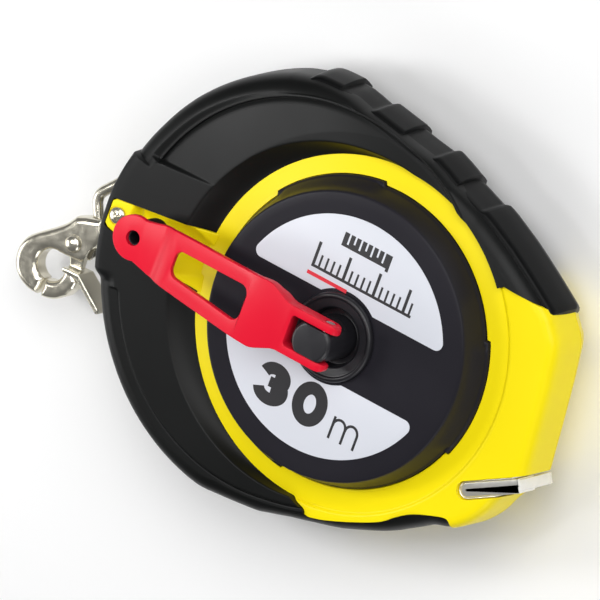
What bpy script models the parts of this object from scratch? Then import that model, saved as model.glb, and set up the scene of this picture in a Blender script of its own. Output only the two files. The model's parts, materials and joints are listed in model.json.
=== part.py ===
"""Surveyor's closed tape reel: 30 m steel tape, folding crank, 3:1 rewind gearing.

The reel lies on its back. The origin is on the crank axis in the back plane, +X points to
the nose with the tape mouth, +Y to the ribbed hand grip and +Z out of the front face.
Lengths below are in millimetres; they become metres where the meshes are made.
"""

import math

import bmesh
import bpy
from mathutils import Matrix, Vector

MM = 0.001

# ---------------------------------------------------------------- driving dimensions
GAP = 0.3                     # air between pieces that touch on the real object
MID = 20.0                    # parting plane between the case halves
NOSE_TOP = 38.0               # front of the yellow nose
FACE = 40.0                   # front of the black face
DISC = 48.0                   # front of the gear cover
HUB_TOP = 50.5                # rim of the crank hub
SHELL_TOP = 33.5              # front of the hidden part of the front shell

BODY_R = 77.0                 # round end of the case, about the drum axis
DRUM_X = -24.0                # drum axis; the crank axis is x = 0
CHAMBER_R = 63.0              # inside of the drum chamber
SKIN = 2.4                    # thickness of the rubber skin on the sides
WALL = 3.0                    # back wall
BACK_SKIN = 2.2               # thickness of the rubber on the back
PAN_R = 54.0                  # bare round pan in the middle of the back
BACK_RING_R = 50.0            # bare yellow round the crank axis on the back
DRUM_FLOOR = 12.4             # floor of the wide part of the drum chamber
DEEP_R = 48.0                 # deeper middle of the chamber, round the drum's core
HEAD_LOW = 9.5                # outer side of the case screws' sunk heads

COVER_R = 49.5                # flat front of the gear cover
COVER_SEAT_R = 52.7           # foot of its cone
LOBE_R = 54.0                 # foot of its three bayonet lobes
RING_R = 61.0                 # outer edge of the yellow ring
COLLAR_R = 69.0               # outer edge of the dished black collar

MODULE = 1.2                  # rewind gears: 60-tooth ring drives a 20-tooth pinion
RING_TEETH = 60
PINION_TEETH = 20
PRESSURE = math.radians(25.0)
BACKLASH = 0.18
GEAR_LOW = 28.0
GEAR_HIGH = 34.0

COIL_R = 57.0                 # 30 m of 0.32 mm coated blade on a 14 mm core
CORE_R = 14.0
TAPE_WIDE = 9.5
TAPE_THICK = 0.4
FLANGE_R = 60.5
AXLE_R = 4.0

ARM_PIVOT = (3.0, 61.0)       # x and z of the arm's pivot pin
KNOB_X = -79.3                # knob axis
KNOB_R = 5.2
ARM_TOP = 64.5                # front of the arm at the hub
ARM_TIP_TOP = 57.0            # front of the arm at the knob
SHEET = 2.3                   # thickness of the pressed arm

SCREW_XY = (-95.9, -1.6)      # case screw in the yellow tab
SLOT_AT = (60.8, -29.8)       # centre of the mouth slot's round inner end
SLOT_TILT = math.radians(30.0)
SLOT_HALF = 3.3               # half height of the slot

WIRE_R = 1.7                  # hook ring wire
RING_HINGE_X = -89.6          # the ring's inner leg, which is its hinge
RING_TOP = (-115.2, -5.2)     # the ring's outer corner
RING_LOW = (-106.6, -22.1)    # the foot of its outer leg
RIVET_XY = (-115.2, -23.6)    # pivot of the hook's gate
HOOK_EYE = (-120.9, -34.6)    # centre of the round hook
HOOK_IN = 5.6
HOOK_OUT = 12.2
HOOK_HALF = 4.2               # half of the hook's thickness
BOSS_R = 3.3                  # boss round the tab's screw

PARTING = 0.15                # half of the gap at the parting plane
MOUTH = (79.2, -21.4)         # end of the free tape
TAPE_TILT = math.radians(21.35)
GRIP_FROM, GRIP_TO = -52.0, 68.4      # ends of the hand grip, in x
RAISED_PADS = [(-52.0, -35.5), (-23.0, -8.5), (4.5, 17.5), (28.5, 68.2)]


# ---------------------------------------------------------------- materials
def paint(name, rgb, rough, metal=0.0):
    """Return a Principled material."""
    material = bpy.data.materials.new(name)
    material.use_nodes = True
    shader = material.node_tree.nodes["Principled BSDF"]
    shader.inputs["Base Color"].default_value = (*rgb, 1.0)
    shader.inputs["Roughness"].default_value = rough
    shader.inputs["Metallic"].default_value = metal
    material.diffuse_color = (*rgb, 1.0)
    return material


# ---------------------------------------------------------------- mesh helpers
def new_object(name, bm, material=None):
    """Turn a bmesh in millimetres into a scene object in metres."""
    bmesh.ops.scale(bm, vec=(MM, MM, MM), verts=bm.verts)
    bmesh.ops.recalc_face_normals(bm, faces=bm.faces)
    mesh = bpy.data.meshes.new(name)
    bm.to_mesh(mesh)
    bm.free()
    thing = bpy.data.objects.new(name, mesh)
    bpy.context.collection.objects.link(thing)
    if material:
        mesh.materials.append(material)
    return thing


def loft(name, rings, material=None, closed=False):
    """Skin a row of closed rings that all have the same number of points."""
    bm = bmesh.new()
    rows = [[bm.verts.new(point) for point in ring] for ring in rings]
    pairs = list(zip(rows, rows[1:]))
    if closed:
        pairs.append((rows[-1], rows[0]))
    for low, high in pairs:
        for i in range(len(low)):
            j = (i + 1) % len(low)
            bm.faces.new((low[i], low[j], high[j], high[i]))
    if not closed:
        bm.faces.new(list(reversed(rows[0])))
        bm.faces.new(rows[-1])
    return new_object(name, bm, material)


def prism(name, outline, low, high, material=None):
    """Extrude a closed outline from z = low to z = high."""
    return loft(name, [[(x, y, z) for x, y in outline] for z in (low, high)], material)


def turned(name, profile, at=(0.0, 0.0), steps=48, material=None):
    """Turn a closed profile of (radius, z) about a vertical axis at `at`.

    A point with radius 0 lies on the axis and is shared by all the steps."""
    bm = bmesh.new()
    rows = []
    for radius, z in profile:
        if radius == 0:
            rows.append([bm.verts.new((at[0], at[1], z))] * steps)
            continue
        turn = [2 * math.pi * i / steps for i in range(steps)]
        rows.append([bm.verts.new((at[0] + radius * math.cos(a), at[1] + radius * math.sin(a), z))
                     for a in turn])
    for k, row in enumerate(rows):
        after = rows[(k + 1) % len(rows)]
        if row[0] is row[1] and after[0] is after[1]:
            continue
        for i in range(steps):
            j = (i + 1) % steps
            corners = [row[i], row[j], after[j], after[i]]
            bm.faces.new(list(dict.fromkeys(corners)))
    return new_object(name, bm, material)


def sweep(name, path, radius, material=None, closed=False, sides=10, up=Vector((0, 0, 1))):
    """Run a round wire along a path that stays roughly across `up`."""
    points = [Vector(p) for p in path]
    rings = []
    count = len(points)
    for i, point in enumerate(points):
        before = points[i - 1] if closed or i else point
        after = points[(i + 1) % count] if closed or i < count - 1 else point
        along = (after - before).normalized()
        side = along.cross(up).normalized()
        other = side.cross(along)
        rings.append([point + radius * (math.cos(a) * side + math.sin(a) * other)
                      for a in (2 * math.pi * k / sides for k in range(sides))])
    return loft(name, rings, material, closed)


def volume(mesh):
    """Volume of a mesh in cubic millimetres, or -1 where it isn't closed."""
    bm = bmesh.new()
    bm.from_mesh(mesh)
    closed = bool(bm.faces) and all(len(edge.link_faces) == 2 for edge in bm.edges)
    size = bm.calc_volume() / MM ** 3 if closed else -1.0
    bm.free()
    return size


def combine(thing, other, operation):
    """Apply a Boolean to `thing` and remove the other object.

    The exact solver comes first; the manifold solver takes the few cuts where it fails,
    which shows as an open mesh or as a volume that the operation can't give."""
    mine, theirs = volume(thing.data), volume(other.data)
    least, most = {"UNION": (max(mine, theirs), mine + theirs), "DIFFERENCE": (mine - theirs, mine),
                   "INTERSECT": (0.0, min(mine, theirs))}[operation]
    modifier = thing.modifiers.new("cut", "BOOLEAN")
    modifier.operation = operation
    modifier.object = other
    for solver in ("EXACT", "MANIFOLD"):
        modifier.solver = solver
        graph = bpy.context.evaluated_depsgraph_get()
        result = bpy.data.meshes.new_from_object(thing.evaluated_get(graph))
        if max(least, 0.0) - 1.0 <= volume(result) <= most + 1.0:
            break
    thing.modifiers.clear()
    old = thing.data
    materials = list(old.materials)
    thing.data = result
    result.materials.clear()
    for material in materials:
        result.materials.append(material)
    result.polygons.foreach_set("material_index", [0] * len(result.polygons))
    bpy.data.meshes.remove(old)
    bpy.data.objects.remove(other)
    return thing


def minus(thing, *others):
    for other in others:
        combine(thing, other, "DIFFERENCE")
    return thing


def plus(thing, *others):
    for other in others:
        combine(thing, other, "UNION")
    return thing


def common(thing, *others):
    for other in others:
        combine(thing, other, "INTERSECT")
    return thing


def pivot_at(thing, x, y, z):
    """Move the object's origin to a joint's axis without moving its surface."""
    place = Vector((x, y, z)) * MM
    thing.data.transform(Matrix.Translation(-place))
    thing.location = place
    return thing


def turn_about(thing, angle, axis, at=(0, 0, 0)):
    """Turn the mesh itself about an axis through a point in millimetres."""
    place = Vector(at) * MM
    move = Matrix.Translation(place) @ Matrix.Rotation(angle, 4, axis) @ Matrix.Translation(-place)
    thing.data.transform(move)
    return thing


# ---------------------------------------------------------------- plane figures
def arc(centre, radius, start, end, count):
    """Points on an arc, angles in degrees, both ends included."""
    angles = [math.radians(start + (end - start) * i / (count - 1)) for i in range(count)]
    return [(centre[0] + radius * math.cos(a), centre[1] + radius * math.sin(a)) for a in angles]


def circle(centre, radius, count=48):
    return arc(centre, radius, 0, 360 - 360 / count, count)


def curve_through(anchors, steps=3):
    """Catmull-Rom points through the anchors, ends included."""
    rows = [anchors[0], *anchors, anchors[-1]]
    points = []
    for a, b, c, d in zip(rows, rows[1:], rows[2:], rows[3:]):
        for i in range(steps):
            t = i / steps
            weights = ((-t + 2 * t * t - t ** 3) / 2, (2 - 5 * t * t + 3 * t ** 3) / 2,
                       (t + 4 * t * t - 3 * t ** 3) / 2, (t ** 3 - t * t) / 2)
            points.append(tuple(sum(w * p[k] for w, p in zip(weights, (a, b, c, d)))
                                for k in range(2)))
    points.append(anchors[-1])
    return points


def offset(outline, distance):
    """Move a counter-clockwise outline outwards by a distance, with mitred corners."""
    moved = []
    count = len(outline)
    for i, here in enumerate(outline):
        before = Vector(outline[i - 1])
        after = Vector(outline[(i + 1) % count])
        point = Vector(here)
        first = (point - before).normalized()
        second = (after - point).normalized()
        normal = Vector((first.y + second.y, -first.x - second.x)).normalized()
        spread = max(0.45, normal.dot(Vector((first.y, -first.x))))
        moved.append(tuple(point + normal * distance / spread))
    return moved


def slot_frame(along, across):
    """A point of the mouth slot, measured along and across its axis."""
    c, s = math.cos(SLOT_TILT), math.sin(SLOT_TILT)
    return (SLOT_AT[0] + along * c - across * s, SLOT_AT[1] + along * s + across * c)


def case_outline():
    """The case's outline at the parting plane, counter-clockwise from the lower left."""
    round_end = arc((DRUM_X, 0), BODY_R, 96, 262, 25)
    belly = [(-10, -75.4), (8, -70), (20, -66), (30, -61.8), (38, -58), (47, -52), (53, -47.8),
             (58.5, -46), (63, -43), (67, -38.6), (70.3, -33.6), (72.4, -28.6), (79.8, -17.5)]
    nose = [(76.4, 11), (73.9, 31.5)]
    brow = [(69.8, 39.2), (63, 43.4), (50, 50.6), (30, 60.4), (18, 65.2), (8, 68.6), (-6, 72),
            (-20, 74.8)]
    return round_end + curve_through(belly, 1) + nose + curve_through(brow, 1)


def yellow_outline(grow=0.0, ring_r=RING_R):
    """Plan of the yellow nose, joined to the ring round the gear cover."""
    upper = [(75, 39.8), (66.5, 40.4), (48, 41.4)]
    round_ring = arc((0, 0), ring_r, 41, 272, 34)
    lower = [(6.4, -62.8), (8, -65), (15, -63.6), (25, -59.4), (35, -54.4), (40, -50), (45, -46.6),
             (52, -43.6), (58, -42), (60.2, -44.5), (60.2, -52), (84, -52)]
    shape = upper + round_ring + lower + [(84, 39.8)]
    return offset(shape, grow)


def tab_outline(grow=0.0):
    """Plan of the wedge-shaped yellow tab that carries the case screw."""
    shape = [(-99.6, 3.7), (-99.6, -6.8), (-93, -8.1), (-58, -13.2), (-58, 8.8)]
    return offset(shape, grow)


# ---------------------------------------------------------------- case
def case_rings(outline, top, side=1, shrink=0.0):
    """Rings of half a case, drawn in towards the face; side -1 is the tapered back half."""
    steps = [(0.0, 0.0), (14.0, 1.2), (17.4, 2.8), (19.2, 5.0), (20.0, 7.4)]
    if side < 0:
        steps = [(0.0, 0.0), (4.0, 1.6), (9.0, 4.0), (13.0, 6.2), (16.5, 8.8), (19.0, 11.8), (20.0, 15.0)]
    reach = top - MID
    rings = []
    for rise, inset in steps:
        height = PARTING if rise == 0 else rise * reach / 20.0
        ring = offset(outline, -inset - shrink)
        rings.append([(x, y, MID + side * height) for x, y in ring])
    return rings


def case_body(grow):
    """Both halves of the case as one solid, grown or shrunk."""
    outline = offset(case_outline(), grow)
    back = case_rings(outline, FACE, -1)
    return loft("body", list(reversed(back)) + case_rings(outline, FACE))


def chamber_outline():
    """The drum chamber with the way out to the mouth."""
    round_part = arc((DRUM_X, 0), CHAMBER_R, 60, 300, 30)
    return round_part + [(20, -49), (40, -42), (57, -35), (59, -20), (66, 10), (64, 34), (40, 46), (14, 54)]


def side_slot(low, high):
    """Opening in the left end for the hook's ring."""
    return prism("slot", [(-87.8, -19), (-87.8, 12.5), (-110, 20), (-110, -30)], low, high)


def mouth_cutter(grow=0.0):
    """Round-ended mouth slot through the whole thickness."""
    half = SLOT_HALF + grow
    inner = [slot_frame(half * math.cos(a), half * math.sin(a))
             for a in (math.radians(90 + 180 * i / 8) for i in range(9))]
    outline = inner + [slot_frame(40, -half), slot_frame(40, half)]
    return prism("mouth", outline, -5, 60)


def chamber(low, high):
    return prism("chamber", chamber_outline(), low, high)


def front_case(material):
    """Yellow shell: nose, ring round the gear cover, tab, and the hidden shell."""
    shell = loft("front_case", case_rings(case_outline(), NOSE_TOP), material)
    common(shell, prism("plan", yellow_outline(), 0, 60))
    dish = turned("dish", [(0, 38.3), (COVER_SEAT_R, 38.3), (RING_R + 1.2, 35.9),
                           (RING_R + 3.2, NOSE_TOP + 0.2), (RING_R + 3.2, 60), (0, 60)], steps=60)
    minus(shell, dish)
    hidden = loft("hidden", case_rings(case_outline(), SHELL_TOP, shrink=SKIN))
    plus(shell, hidden)
    tab = prism("tab", tab_outline(), SHELL_TOP - 1, FACE - 0.4)
    plus(shell, tab)
    minus(shell, mouth_cutter())
    minus(shell, chamber(MID - 1, SHELL_TOP - 2.5))
    bore = turned("bore", [(0, 10), (50, 10), (50, 34.4), (COVER_SEAT_R + 0.35, 34.4),
                           (COVER_SEAT_R + 0.35, 60), (0, 60)], steps=48)
    minus(shell, bore, lobe_cutter())
    minus(shell, trough_cutter(), side_slot(MID - 5, MID + 7), grip_seat())
    plus(shell, turned("boss", [(0, MID + PARTING), (BOSS_R, MID + PARTING), (BOSS_R, 30), (0, 30)],
                       SCREW_XY, 20))
    minus(shell, turned("pilot", [(0, 10), (1.6, 10), (1.6, 60), (0, 60)], SCREW_XY, 16))
    minus(shell, turned("sink", [(0, FACE - 1.3), (3.3, FACE - 1.3), (3.3, 60), (0, 60)], SCREW_XY, 20))
    for x, y in screw_places():
        pin = turned("pin_hole", [(0, 10), (1.6, 10), (1.6, 30), (0, 30)], (x, y), 12)
        minus(shell, pin)
    return shell


def lobe_cutter():
    """Three wide gaps in the yellow ring, 120 degrees apart, for the bayonet lobes."""
    body = None
    for turn in (0, 120, 240):
        outer = arc((0, 0), LOBE_R + 0.35, turn - 23.4, turn + 23.4, 12)
        inner = arc((0, 0), 48, turn + 23.4, turn - 23.4, 12)
        piece = prism("lobe", outer + inner, 34.4, 60)
        body = plus(body, piece) if body else piece
    return body


def trough_cutter():
    """Dished trough under the knob, cut lengthwise into the tab."""
    across = [(y, 0.022 * (y + 1.8) ** 2) for y in (-14, -9, -5, -2, 1, 5, 11)]
    rings = []
    floor_line = ((-91.5, 0.6, 0.0), (-88, 0.3, 1.9), (-72, -0.4, 2.1), (-60, -1.0, 2.6), (-52, -1, 2.6))
    for x, y0, deep in floor_line:
        base = [(x, y + y0, FACE - 0.4 - deep + rise) for y, rise in across]
        rings.append(base + [(x, 13 + y0, 60), (x, -16 + y0, 60)])
    return loft("trough", rings)


def front_skin(material):
    """Black face, shoulder band and left block, moulded over the yellow shell."""
    skin = loft("front_rubber", case_rings(case_outline(), FACE), material)
    minus(skin, prism("plan", yellow_outline(GAP), 0, 60), prism("tab", tab_outline(GAP), 0, 60))
    collar = [(RING_R - 8, 36.0), (RING_R, 36.0), (63, 36.5), (66, 38.1), (68.2, 39.6),
              (COLLAR_R + 0.4, 41), (COLLAR_R + 0.4, 60), (RING_R - 8, 60)]
    minus(skin, turned("collar", collar, steps=48))
    hidden = loft("hidden", case_rings(case_outline(), SHELL_TOP + GAP, shrink=SKIN - GAP))
    minus(skin, hidden)
    minus(skin, side_slot(MID - 5, MID + 7), trough_cutter(), grip_space())
    return skin


def back_case(material):
    """Rear half of the shell, with the drum chamber and the axle's boss."""
    shell = loft("rear_case", case_rings(case_outline(), NOSE_TOP + 2, -1), material)
    common(shell, prism("plan", yellow_outline(0, BACK_RING_R), -5, 60))
    plus(shell, loft("hidden", case_rings(case_outline(), NOSE_TOP + 2 - BACK_SKIN, -1, SKIN)))
    plus(shell, prism("pan", circle((DRUM_X, 0), PAN_R, 40), 0, 6))
    minus(shell, mouth_cutter())
    minus(shell, chamber(DRUM_FLOOR, MID + 5), side_slot(MID - 7, MID + 5), grip_seat())
    minus(shell, prism("deep", circle((DRUM_X, 0), DEEP_R, 40), WALL, DRUM_FLOOR + 1))
    plus(shell, turned("boss", [(0, 1), (9, 1), (9, 4.6), (0, 4.6)], (DRUM_X, 0), 32))
    minus(shell, turned("bore", [(0, 1.2), (AXLE_R + 0.15, 1.2), (AXLE_R + 0.15, 9), (0, 9)],
                        (DRUM_X, 0), 32))
    plus(shell, turned("boss", [(0, 10), (1.9, 10), (1.9, 12), (BOSS_R, 13.4), (BOSS_R, MID - PARTING),
                                (0, MID - PARTING)], SCREW_XY, 20))
    minus(shell, turned("pilot", [(0, 13.2), (1.6, 13.2), (1.6, 60), (0, 60)], SCREW_XY, 12))
    seat = HEAD_LOW + 2.2
    for place in screw_places():
        hole = [(0, -5), (3.1, -5), (3.1, seat), (1.6, seat), (1.6, 30), (0, 30)]
        minus(shell, turned("hole", hole, place, 12))
    return shell


def back_skin(material):
    """Rubber skin round the rim and the edge of the back."""
    skin = loft("rear_rubber", case_rings(case_outline(), NOSE_TOP + 2, -1), material)
    minus(skin, prism("plan", yellow_outline(GAP, BACK_RING_R), -5, 60))
    minus(skin, loft("hidden", case_rings(case_outline(), NOSE_TOP + 2 - BACK_SKIN + GAP, -1, SKIN - GAP)))
    minus(skin, prism("pan", circle((DRUM_X, 0), PAN_R + GAP, 40), -5, 9))
    minus(skin, side_slot(MID - 7, MID + 5), grip_space())
    minus(skin, turned("boss", [(0, 9.6), (BOSS_R + GAP, 9.6), (BOSS_R + GAP, 22), (0, 22)], SCREW_XY, 20))
    for place in screw_places():
        minus(skin, turned("hole", [(0, -5), (3.1, -5), (3.1, 30), (0, 30)], place, 12))
    return skin


def screw_places():
    """Axes of the six screws that close the case from the back."""
    rim = arc((DRUM_X, 0), 68.3, 125, 235, 2)
    return rim + [(26, -57), (26.4, 53.4), (68, 22), (51.6, -42.6)]


def case_screws(material):
    """Pan-head screws that close the case from the back."""
    seat = HEAD_LOW + 1.9
    profile = [(0, HEAD_LOW), (2.7, HEAD_LOW), (2.7, seat), (1.4, seat), (1.4, 28), (0, 28)]
    for number, place in enumerate(screw_places(), 1):
        turned(f"case_screw_{number}", profile, place, 12, material)


def tab_screw(material):
    """Cross-recess pan screw in the yellow tab."""
    top = FACE + 0.9
    profile = [(0, 14), (1.4, 14), (1.4, FACE - 1.0), (3.0, FACE - 1.0), (3.0, FACE), (2.4, top - 0.3),
               (1.2, top), (0, top)]
    screw = turned("tab_screw", profile, SCREW_XY, 20, material)
    for spin in (0.6, 0.6 + math.pi / 2):
        bar = prism("bar", [(-1.9, -0.35), (1.9, -0.35), (1.9, 0.35), (-1.9, 0.35)], FACE - 0.4, top + 2)
        turn_about(bar, spin, "Z")
        bar.data.transform(Matrix.Translation(Vector((*SCREW_XY, 0)) * MM))
        minus(screw, bar)
    return screw


# ---------------------------------------------------------------- hand grip
def grip_space(low=11.1, high=33.4, start=GRIP_FROM - 0.4, end=GRIP_TO + 0.4):
    """Block over the grip's stretch of the rim, between two heights and two cuts in x."""
    return prism("space", [(start, 30), (end, 30), (end, 100), (start, 100)], low, high)


def grip_seat():
    """Room for the grip where it reaches over the yellow shell."""
    return minus(grip_space(), case_body(-2.2))


def grip_pad(material):
    """Ribbed hand grip across both case halves, with alternate raised pads."""
    pad = case_body(0.6)
    pad.name = "grip_pad"
    pad.data.materials.append(material)
    common(pad, grip_space(11.5, 33, GRIP_FROM, GRIP_TO))
    for start, end in RAISED_PADS:
        plus(pad, common(case_body(2.6), grip_space(11.5, 32.4, start + 0.4, end - 0.2)))
    return minus(pad, case_body(-1.8))


# ---------------------------------------------------------------- gear cover and labels
def gear_cover(material):
    """Domed disc over the gears, held by three bayonet lobes."""
    profile = [(14.2, 45.4), (47.6, 45.4), (50.4, 38.6), (50.4, 34.8), (COVER_SEAT_R, 34.8),
               (COVER_SEAT_R, 38.3), (COVER_R + 0.3, DISC - 0.8), (COVER_R - 0.8, DISC), (14.2, DISC)]
    cover = turned("gear_cover", profile, steps=48, material=material)
    for turn in (0, 120, 240):
        outer = arc((0, 0), LOBE_R, turn - 22.8, turn + 22.8, 12)
        inner = arc((0, 0), 51.2, turn + 22.8, turn - 22.8, 12)
        high_out = arc((0, 0), 50.6, turn - 22.8, turn + 22.8, 12)
        low_ring = [(x, y, 34.8) for x, y in outer + inner]
        seat = [(x, y, 38.3) for x, y in outer + inner]
        peak_in = arc((0, 0), 49.0, turn + 22.8, turn - 22.8, 12)
        peak = [(x, y, 46.4) for x, y in high_out + peak_in]
        plus(cover, loft("lobe", [low_ring, seat, peak]))
    bed_low = DISC - 0.35
    for sign, level in ((1, 12.7), (-1, -14.2)):
        minus(cover, prism("bed", label_outline(sign, level, 0.15), bed_low, DISC + 5))
    return cover


def label_outline(sign, level, grow=0.0):
    """Circle segment with rounded corners, cut round the hub; sign -1 is the lower one."""
    outer = 42.0
    corner = 2.6
    inner_r = outer - corner
    reach = math.degrees(math.asin((abs(level) + corner) / inner_r))
    right = (inner_r * math.cos(math.radians(reach)), abs(level) + corner)
    shape = arc(right, corner, -90, reach, 5)
    shape += arc((0, 0), outer, reach + 3, 177 - reach, 26)
    shape += arc((-right[0], right[1]), corner, 180 - reach, 270, 5)
    hub = 16.6
    if abs(level) < hub:
        bite = math.degrees(math.asin(abs(level) / hub))
        shape += arc((0, 0), hub, 180 - bite, bite, 9)
    shape = offset(shape, grow)
    if sign < 0:
        shape = [(x, -y) for x, y in reversed(shape)]
    return shape


def labels(material):
    upper = prism("upper_label", label_outline(1, 12.7), DISC - 0.25, DISC + 0.1, material)
    lower = prism("lower_label", label_outline(-1, -14.2), DISC - 0.25, DISC + 0.1, material)
    return upper, lower


# ---------------------------------------------------------------- gears
def involute(angle):
    return math.tan(angle) - angle


def tooth_flank(teeth, radius, slack):
    """Half the angle of an external tooth at a radius, less a slack in millimetres."""
    pitch = MODULE * teeth / 2
    base = pitch * math.cos(PRESSURE)
    here = math.acos(min(1.0, base / max(radius, base)))
    half = math.pi / (2 * teeth) + involute(PRESSURE) - involute(here)
    return half - slack / (2 * pitch)


def gear_outline(teeth, root, tip, slack, phase, cuts):
    """Closed outline of a toothed wheel; a tooth's centre lies at the phase angle."""
    levels = [root + (tip - root) * k / cuts for k in range(cuts + 1)]
    shape = []
    for n in range(teeth):
        middle = phase + 2 * math.pi * n / teeth
        rise = [(r, middle - tooth_flank(teeth, r, slack)) for r in levels]
        fall = [(r, middle + tooth_flank(teeth, r, slack)) for r in reversed(levels)]
        shape += [(r * math.cos(a), r * math.sin(a)) for r, a in rise + fall]
    return shape


def crank_wheel(material):
    """Wheel with 60 inward teeth, fixed under the crank hub."""
    pitch = MODULE * RING_TEETH / 2
    profile = [(0, GEAR_LOW), (41, GEAR_LOW), (41, GEAR_HIGH + 2.5), (0, GEAR_HIGH + 2.5)]
    wheel = turned("ring_gear", profile, steps=48, material=material)
    space = gear_outline(RING_TEETH, pitch - 1.0, pitch + 1.45, -BACKLASH, math.pi, 1)
    minus(wheel, prism("teeth", space, GEAR_LOW - 5, GEAR_HIGH + 0.3))
    minus(wheel, turned("eye", [(0, 20), (3.2, 20), (3.2, 60), (0, 60)], steps=24))
    return wheel


def drum_pinion(material):
    """Twenty-tooth pinion on the front of the drum."""
    pitch = MODULE * PINION_TEETH / 2
    outline = gear_outline(PINION_TEETH, pitch - 1.4, pitch + 0.95, BACKLASH, math.pi, 2)
    outline = [(x + DRUM_X, y) for x, y in outline]
    pinion = prism("drum_pinion", outline, GEAR_LOW, GEAR_HIGH - 0.2, material)
    minus(pinion, turned("bore", [(0, 20), (AXLE_R + 0.15, 20), (AXLE_R + 0.15, 60), (0, 60)],
                         (DRUM_X, 0), 32))
    return pinion


# ---------------------------------------------------------------- drum and tape
def drum_parts(plastic, steel, tape):
    """Spool core, two flanges and the coil of tape, all on the drum axis."""
    at = (DRUM_X, 0)
    low = MID - TAPE_WIDE / 2
    high = MID + TAPE_WIDE / 2
    bore = AXLE_R + 0.15
    core = [(bore, 5.4), (8, 5.2), (8, low - 2.2), (CORE_R - 0.3, low - 2.2), (CORE_R - 0.3, high + 2.2),
            (8.6, high + 2.2), (8.6, GEAR_LOW - GAP), (bore, GEAR_LOW - GAP)]
    turned("drum_core", core, at, 32, plastic)
    turned("rear_flange", ring_profile(CORE_R, FLANGE_R, low - 1.9, low - 0.4), at, 48, plastic)
    turned("front_flange", ring_profile(CORE_R, FLANGE_R, high + 0.4, high + 1.9), at, 48, plastic)
    turned("tape_coil", ring_profile(CORE_R, COIL_R, low, high), at, 48, tape)
    turned("drum_axle", [(0, 1.4), (AXLE_R, 1.4), (AXLE_R, GEAR_HIGH - 0.8), (3.4, GEAR_HIGH - 0.2),
                         (0, GEAR_HIGH - 0.2)], at, 32, steel)
    turned("axle_washer", ring_profile(AXLE_R + 0.1, 7.6, 4.65, 5.15), at, 32, steel)


def ring_profile(inner, outer, low, high):
    return [(inner, low), (outer, low), (outer, high), (inner, high)]


# ---------------------------------------------------------------- crank
def crank_hub(material):
    """Turned hub with a recess and the flat-sided post that carries the arm."""
    profile = [(0, 36.9), (22, 36.9), (22, 40.4), (13.9, 41.4), (13.9, DISC + GAP), (15.5, DISC + GAP),
               (15.5, HUB_TOP - 0.5), (15.0, HUB_TOP), (13.8, HUB_TOP), (13.6, HUB_TOP - 0.7),
               (10.4, HUB_TOP - 0.7), (10.0, HUB_TOP - 1.1), (10.0, 45.5), (7.6, 45.5),
               (7.6, ARM_TOP - 0.3), (6.8, ARM_TOP + 0.7), (0, ARM_TOP + 0.7)]
    hub = turned("crank_hub", profile, steps=32, material=material)
    for sign in (1, -1):
        flat = [(-12, sign * 5.3), (12, sign * 5.3), (12, sign * 9.0), (-12, sign * 9.0)]
        if sign < 0:
            flat.reverse()
        side = prism("flat", flat, 52, 80)
        minus(hub, side)
    pin_hole = turned("pin_hole", [(0, -20), (2.1, -20), (2.1, 20), (0, 20)], steps=20)
    turn_about(pin_hole, math.pi / 2, "X")
    pin_hole.data.transform(Matrix.Translation(Vector((ARM_PIVOT[0], 0, ARM_PIVOT[1])) * MM))
    minus(hub, pin_hole)
    minus(hub, turned("tapped", [(0, 30), (1.7, 30), (1.7, 43), (0, 43)], steps=16))
    return hub


def hub_screw(material):
    profile = [(0, 29.6), (5.4, 29.6), (5.4, 32.0), (4.6, 33.2), (3.0, 33.2), (3.0, 36.7), (1.5, 36.7),
               (1.5, 42.5), (0, 42.5)]
    return turned("hub_screw", profile, steps=24, material=material)


def hub_washer(material):
    return turned("hub_washer", ring_profile(3.3, 8.0, 33.5, 34.05), steps=32, material=material)


def arm_plan():
    """Plan of the crank arm's outer edge, counter-clockwise from the upper tine."""
    end = 7.7
    upper = [(end, 6.2), (end - 0.6, 8.0), (end - 2.4, 8.6), (-12, 8.6), (-15.5, 9.8), (-19.5, 11.6),
             (-22.5, 12.25), (-54, 10.7), (-65, 10.0), (-72, 9.0)]
    tip = arc((KNOB_X, 0), 8.0, 62, 298, 18)
    lower = [(x, -y) for x, y in reversed(upper)]
    return upper + tip + lower


def arm_side():
    """Side view of the arm's sheet, x and z, with the deep flanges at the fork."""
    top = [(8, ARM_TOP), (-25, ARM_TOP), (-30, ARM_TOP - 0.3), (-64, ARM_TOP - 5.8), (-66.5, ARM_TOP - 7.0),
           (-68.5, ARM_TIP_TOP), (-90, ARM_TIP_TOP)]
    sheet = [(-90, ARM_TIP_TOP - SHEET), (-69.0, ARM_TIP_TOP - SHEET), (-67, ARM_TOP - 7.3 - SHEET),
             (-64.4, ARM_TOP - 6.0 - SHEET), (-30, ARM_TOP - 0.3 - SHEET), (-21, ARM_TOP - SHEET),
             (-17, ARM_TOP - 6), (4.5, ARM_TOP - 6), (6.4, ARM_TOP - 5.4), (7.6, ARM_TOP - 3.4)]
    return list(reversed(top + sheet))


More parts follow.
